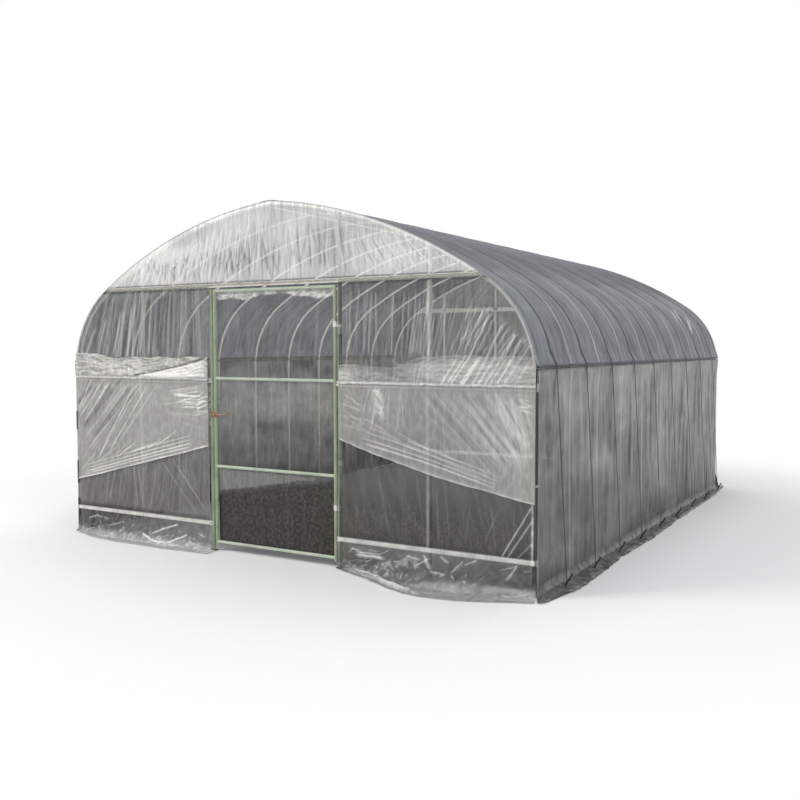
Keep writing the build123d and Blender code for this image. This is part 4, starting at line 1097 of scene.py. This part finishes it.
def clips():
    """Dark strips down the front corners and the hinge post, black clips that also stand in for the shade in
    the gaps there as painted shade, and pale ones on both door posts.
    """
    out, corner_y, post_y = CORNER_X + 0.006, -HALF - 0.0195, -HALF - 0.0016
    rows = (  # whether it is dark, x, y, radius, facing, half the mouth, and the heights from and to
        (1, CORNER_X, corner_y, 0.0112, -45, 75, ((0.055, 0.168),)),
        (1, out, corner_y + 0.006, 0.006, -15, 75, ((0.205, 0.6), (0.615, 1.118), (1.165, 1.225))),
        (1, -CORNER_X, corner_y, 0.0112, -135, 75,
         ((0.05, 0.165), (0.205, 0.25), (0.365, 0.53), (0.76, 0.895))),
        (1, POST_X, post_y, 0.0131, 0, 95, ((1.165, 1.44), (1.5, 1.742))),
        (0, -POST_X, post_y, 0.0131, 180, 95,
         ((0.955, 0.985), (1.005, 1.03), (1.065, 1.095), (0.845, 0.865))),
        (0, POST_X, post_y, 0.0131, 0, 95, ((1.105, 1.14), (0.64, 0.67), (0.165, 0.2))),
    )
    made = {1: [], 0: []}
    for dark, x, y, radius, facing, open_half, heights in rows:
        made[dark] += [clip_parts(x, y, z0, z1, radius, facing, open_half) for z0, z1 in heights]
    loose_parts("film_clips_dark_and_shade", made[1], "black_plastic_and_shade")
    loose_parts("film_clips_pale", made[0], "lock_wire")


clips()

# ---- stage


def floor():
    """A pale floor that fades out away from the object, so that it has no edge."""
    bpy.ops.mesh.primitive_plane_add(size=160, location=(0, 0, 0))
    plane = bpy.context.object
    plane.name = "floor"
    m, tree, bsdf = new_material("floor")
    place = add_node(tree, "TexCoord").outputs["Object"]
    far = add_node(tree, "VectorMath", {0: place}, operation="LENGTH").outputs["Value"]
    span = {"Value": far, "From Min": 2.6, "From Max": 5.4, "To Min": 1.0, "To Max": 0.0}
    fade = add_node(tree, "MapRange", span, interpolation_type="SMOOTHSTEP").outputs["Result"]
    set_sockets(tree, bsdf, {"Base Color": (0.96, 0.96, 0.96, 1), "Roughness": 0.95,
                             "Specular IOR Level": 0.1, "Alpha": fade})
    plane.data.materials.append(m)


def studio():
    """Soft light from all round, and plain white for what the camera, gloss and glass see."""
    world = bpy.data.worlds.new("studio")
    bpy.context.scene.world = world
    world.use_nodes = True
    tree = world.node_tree
    tree.nodes.clear()
    rays = add_node(tree, "LightPath").outputs
    seen = {0: rays["Is Camera Ray"], 1: rays["Is Glossy Ray"]}
    seen = {0: add_node(tree, "Math", seen, operation="MAXIMUM").outputs[0], 1: rays["Is Transmission Ray"]}
    seen = add_node(tree, "Math", seen, operation="MAXIMUM").outputs[0]
    soft = add_node(tree, "Background", {"Color": (0.985, 0.99, 1.0, 1), "Strength": 0.58}).outputs[0]
    white = add_node(tree, "Background", {"Color": (1, 1, 1, 1), "Strength": 1.0}).outputs[0]
    mixed = add_node(tree, "MixShader", {0: seen, 1: soft, 2: white}).outputs[0]
    add_node(tree, "OutputWorld", {"Surface": mixed})


def area_light(name, place, target, size, power, colour=(1, 1, 1)):
    d = bpy.data.lights.new(name, "AREA")
    d.shape = "RECTANGLE"
    d.size, d.size_y = size
    d.energy = power
    d.color = colour
    o = add_object(d)
    o.location = place
    o.rotation_euler = (Vector(target) - Vector(place)).to_track_quat("-Z", "Y").to_euler()
    return o


def camera():
    """The photographer's place and view, a little above a person's chest."""
    yaw, pitch, roll = math.radians(30.527), math.radians(-3.305), math.radians(-0.058)
    forward = Vector((-math.sin(yaw) * math.cos(pitch), math.cos(yaw) * math.cos(pitch), math.sin(pitch)))
    right = Vector((math.cos(yaw), math.sin(yaw), 0))
    data = bpy.data.cameras.new("camera")
    data.sensor_width = 36
    data.lens = 41.56
    data.clip_end = 200
    o = add_object(data)
    turn = Matrix((right, right.cross(forward), -forward)).transposed() @ Matrix.Rotation(roll, 3, "Z")
    o.matrix_world = Matrix.Translation(Vector((3.685, -4.656 - HALF, 1.363))) @ turn.to_4x4()
    bpy.context.scene.camera = o


floor()
studio()
area_light("key", (-7.5, -8.5, 7.0), (0, 0, 1.0), (4.5, 3.5), 640, (1.0, 0.98, 0.94))
area_light("fill", (8.5, -7.0, 5.0), (0, 0, 1.0), (5.0, 4.0), 240, (0.94, 0.97, 1.0))
area_light("top", (1.0, 3.0, 9.5), (0, 0, 1.0), (6.0, 6.0), 190)
glow = area_light("glow", (0.0, 0.2, 0.1), (0.0, 0.2, 3.0), (2.4, 4.0), 85)
glow.visible_camera = False
glow.visible_glossy = False
glow.visible_transmission = False
camera()
bpy.context.scene.view_settings.view_transform = "Standard"
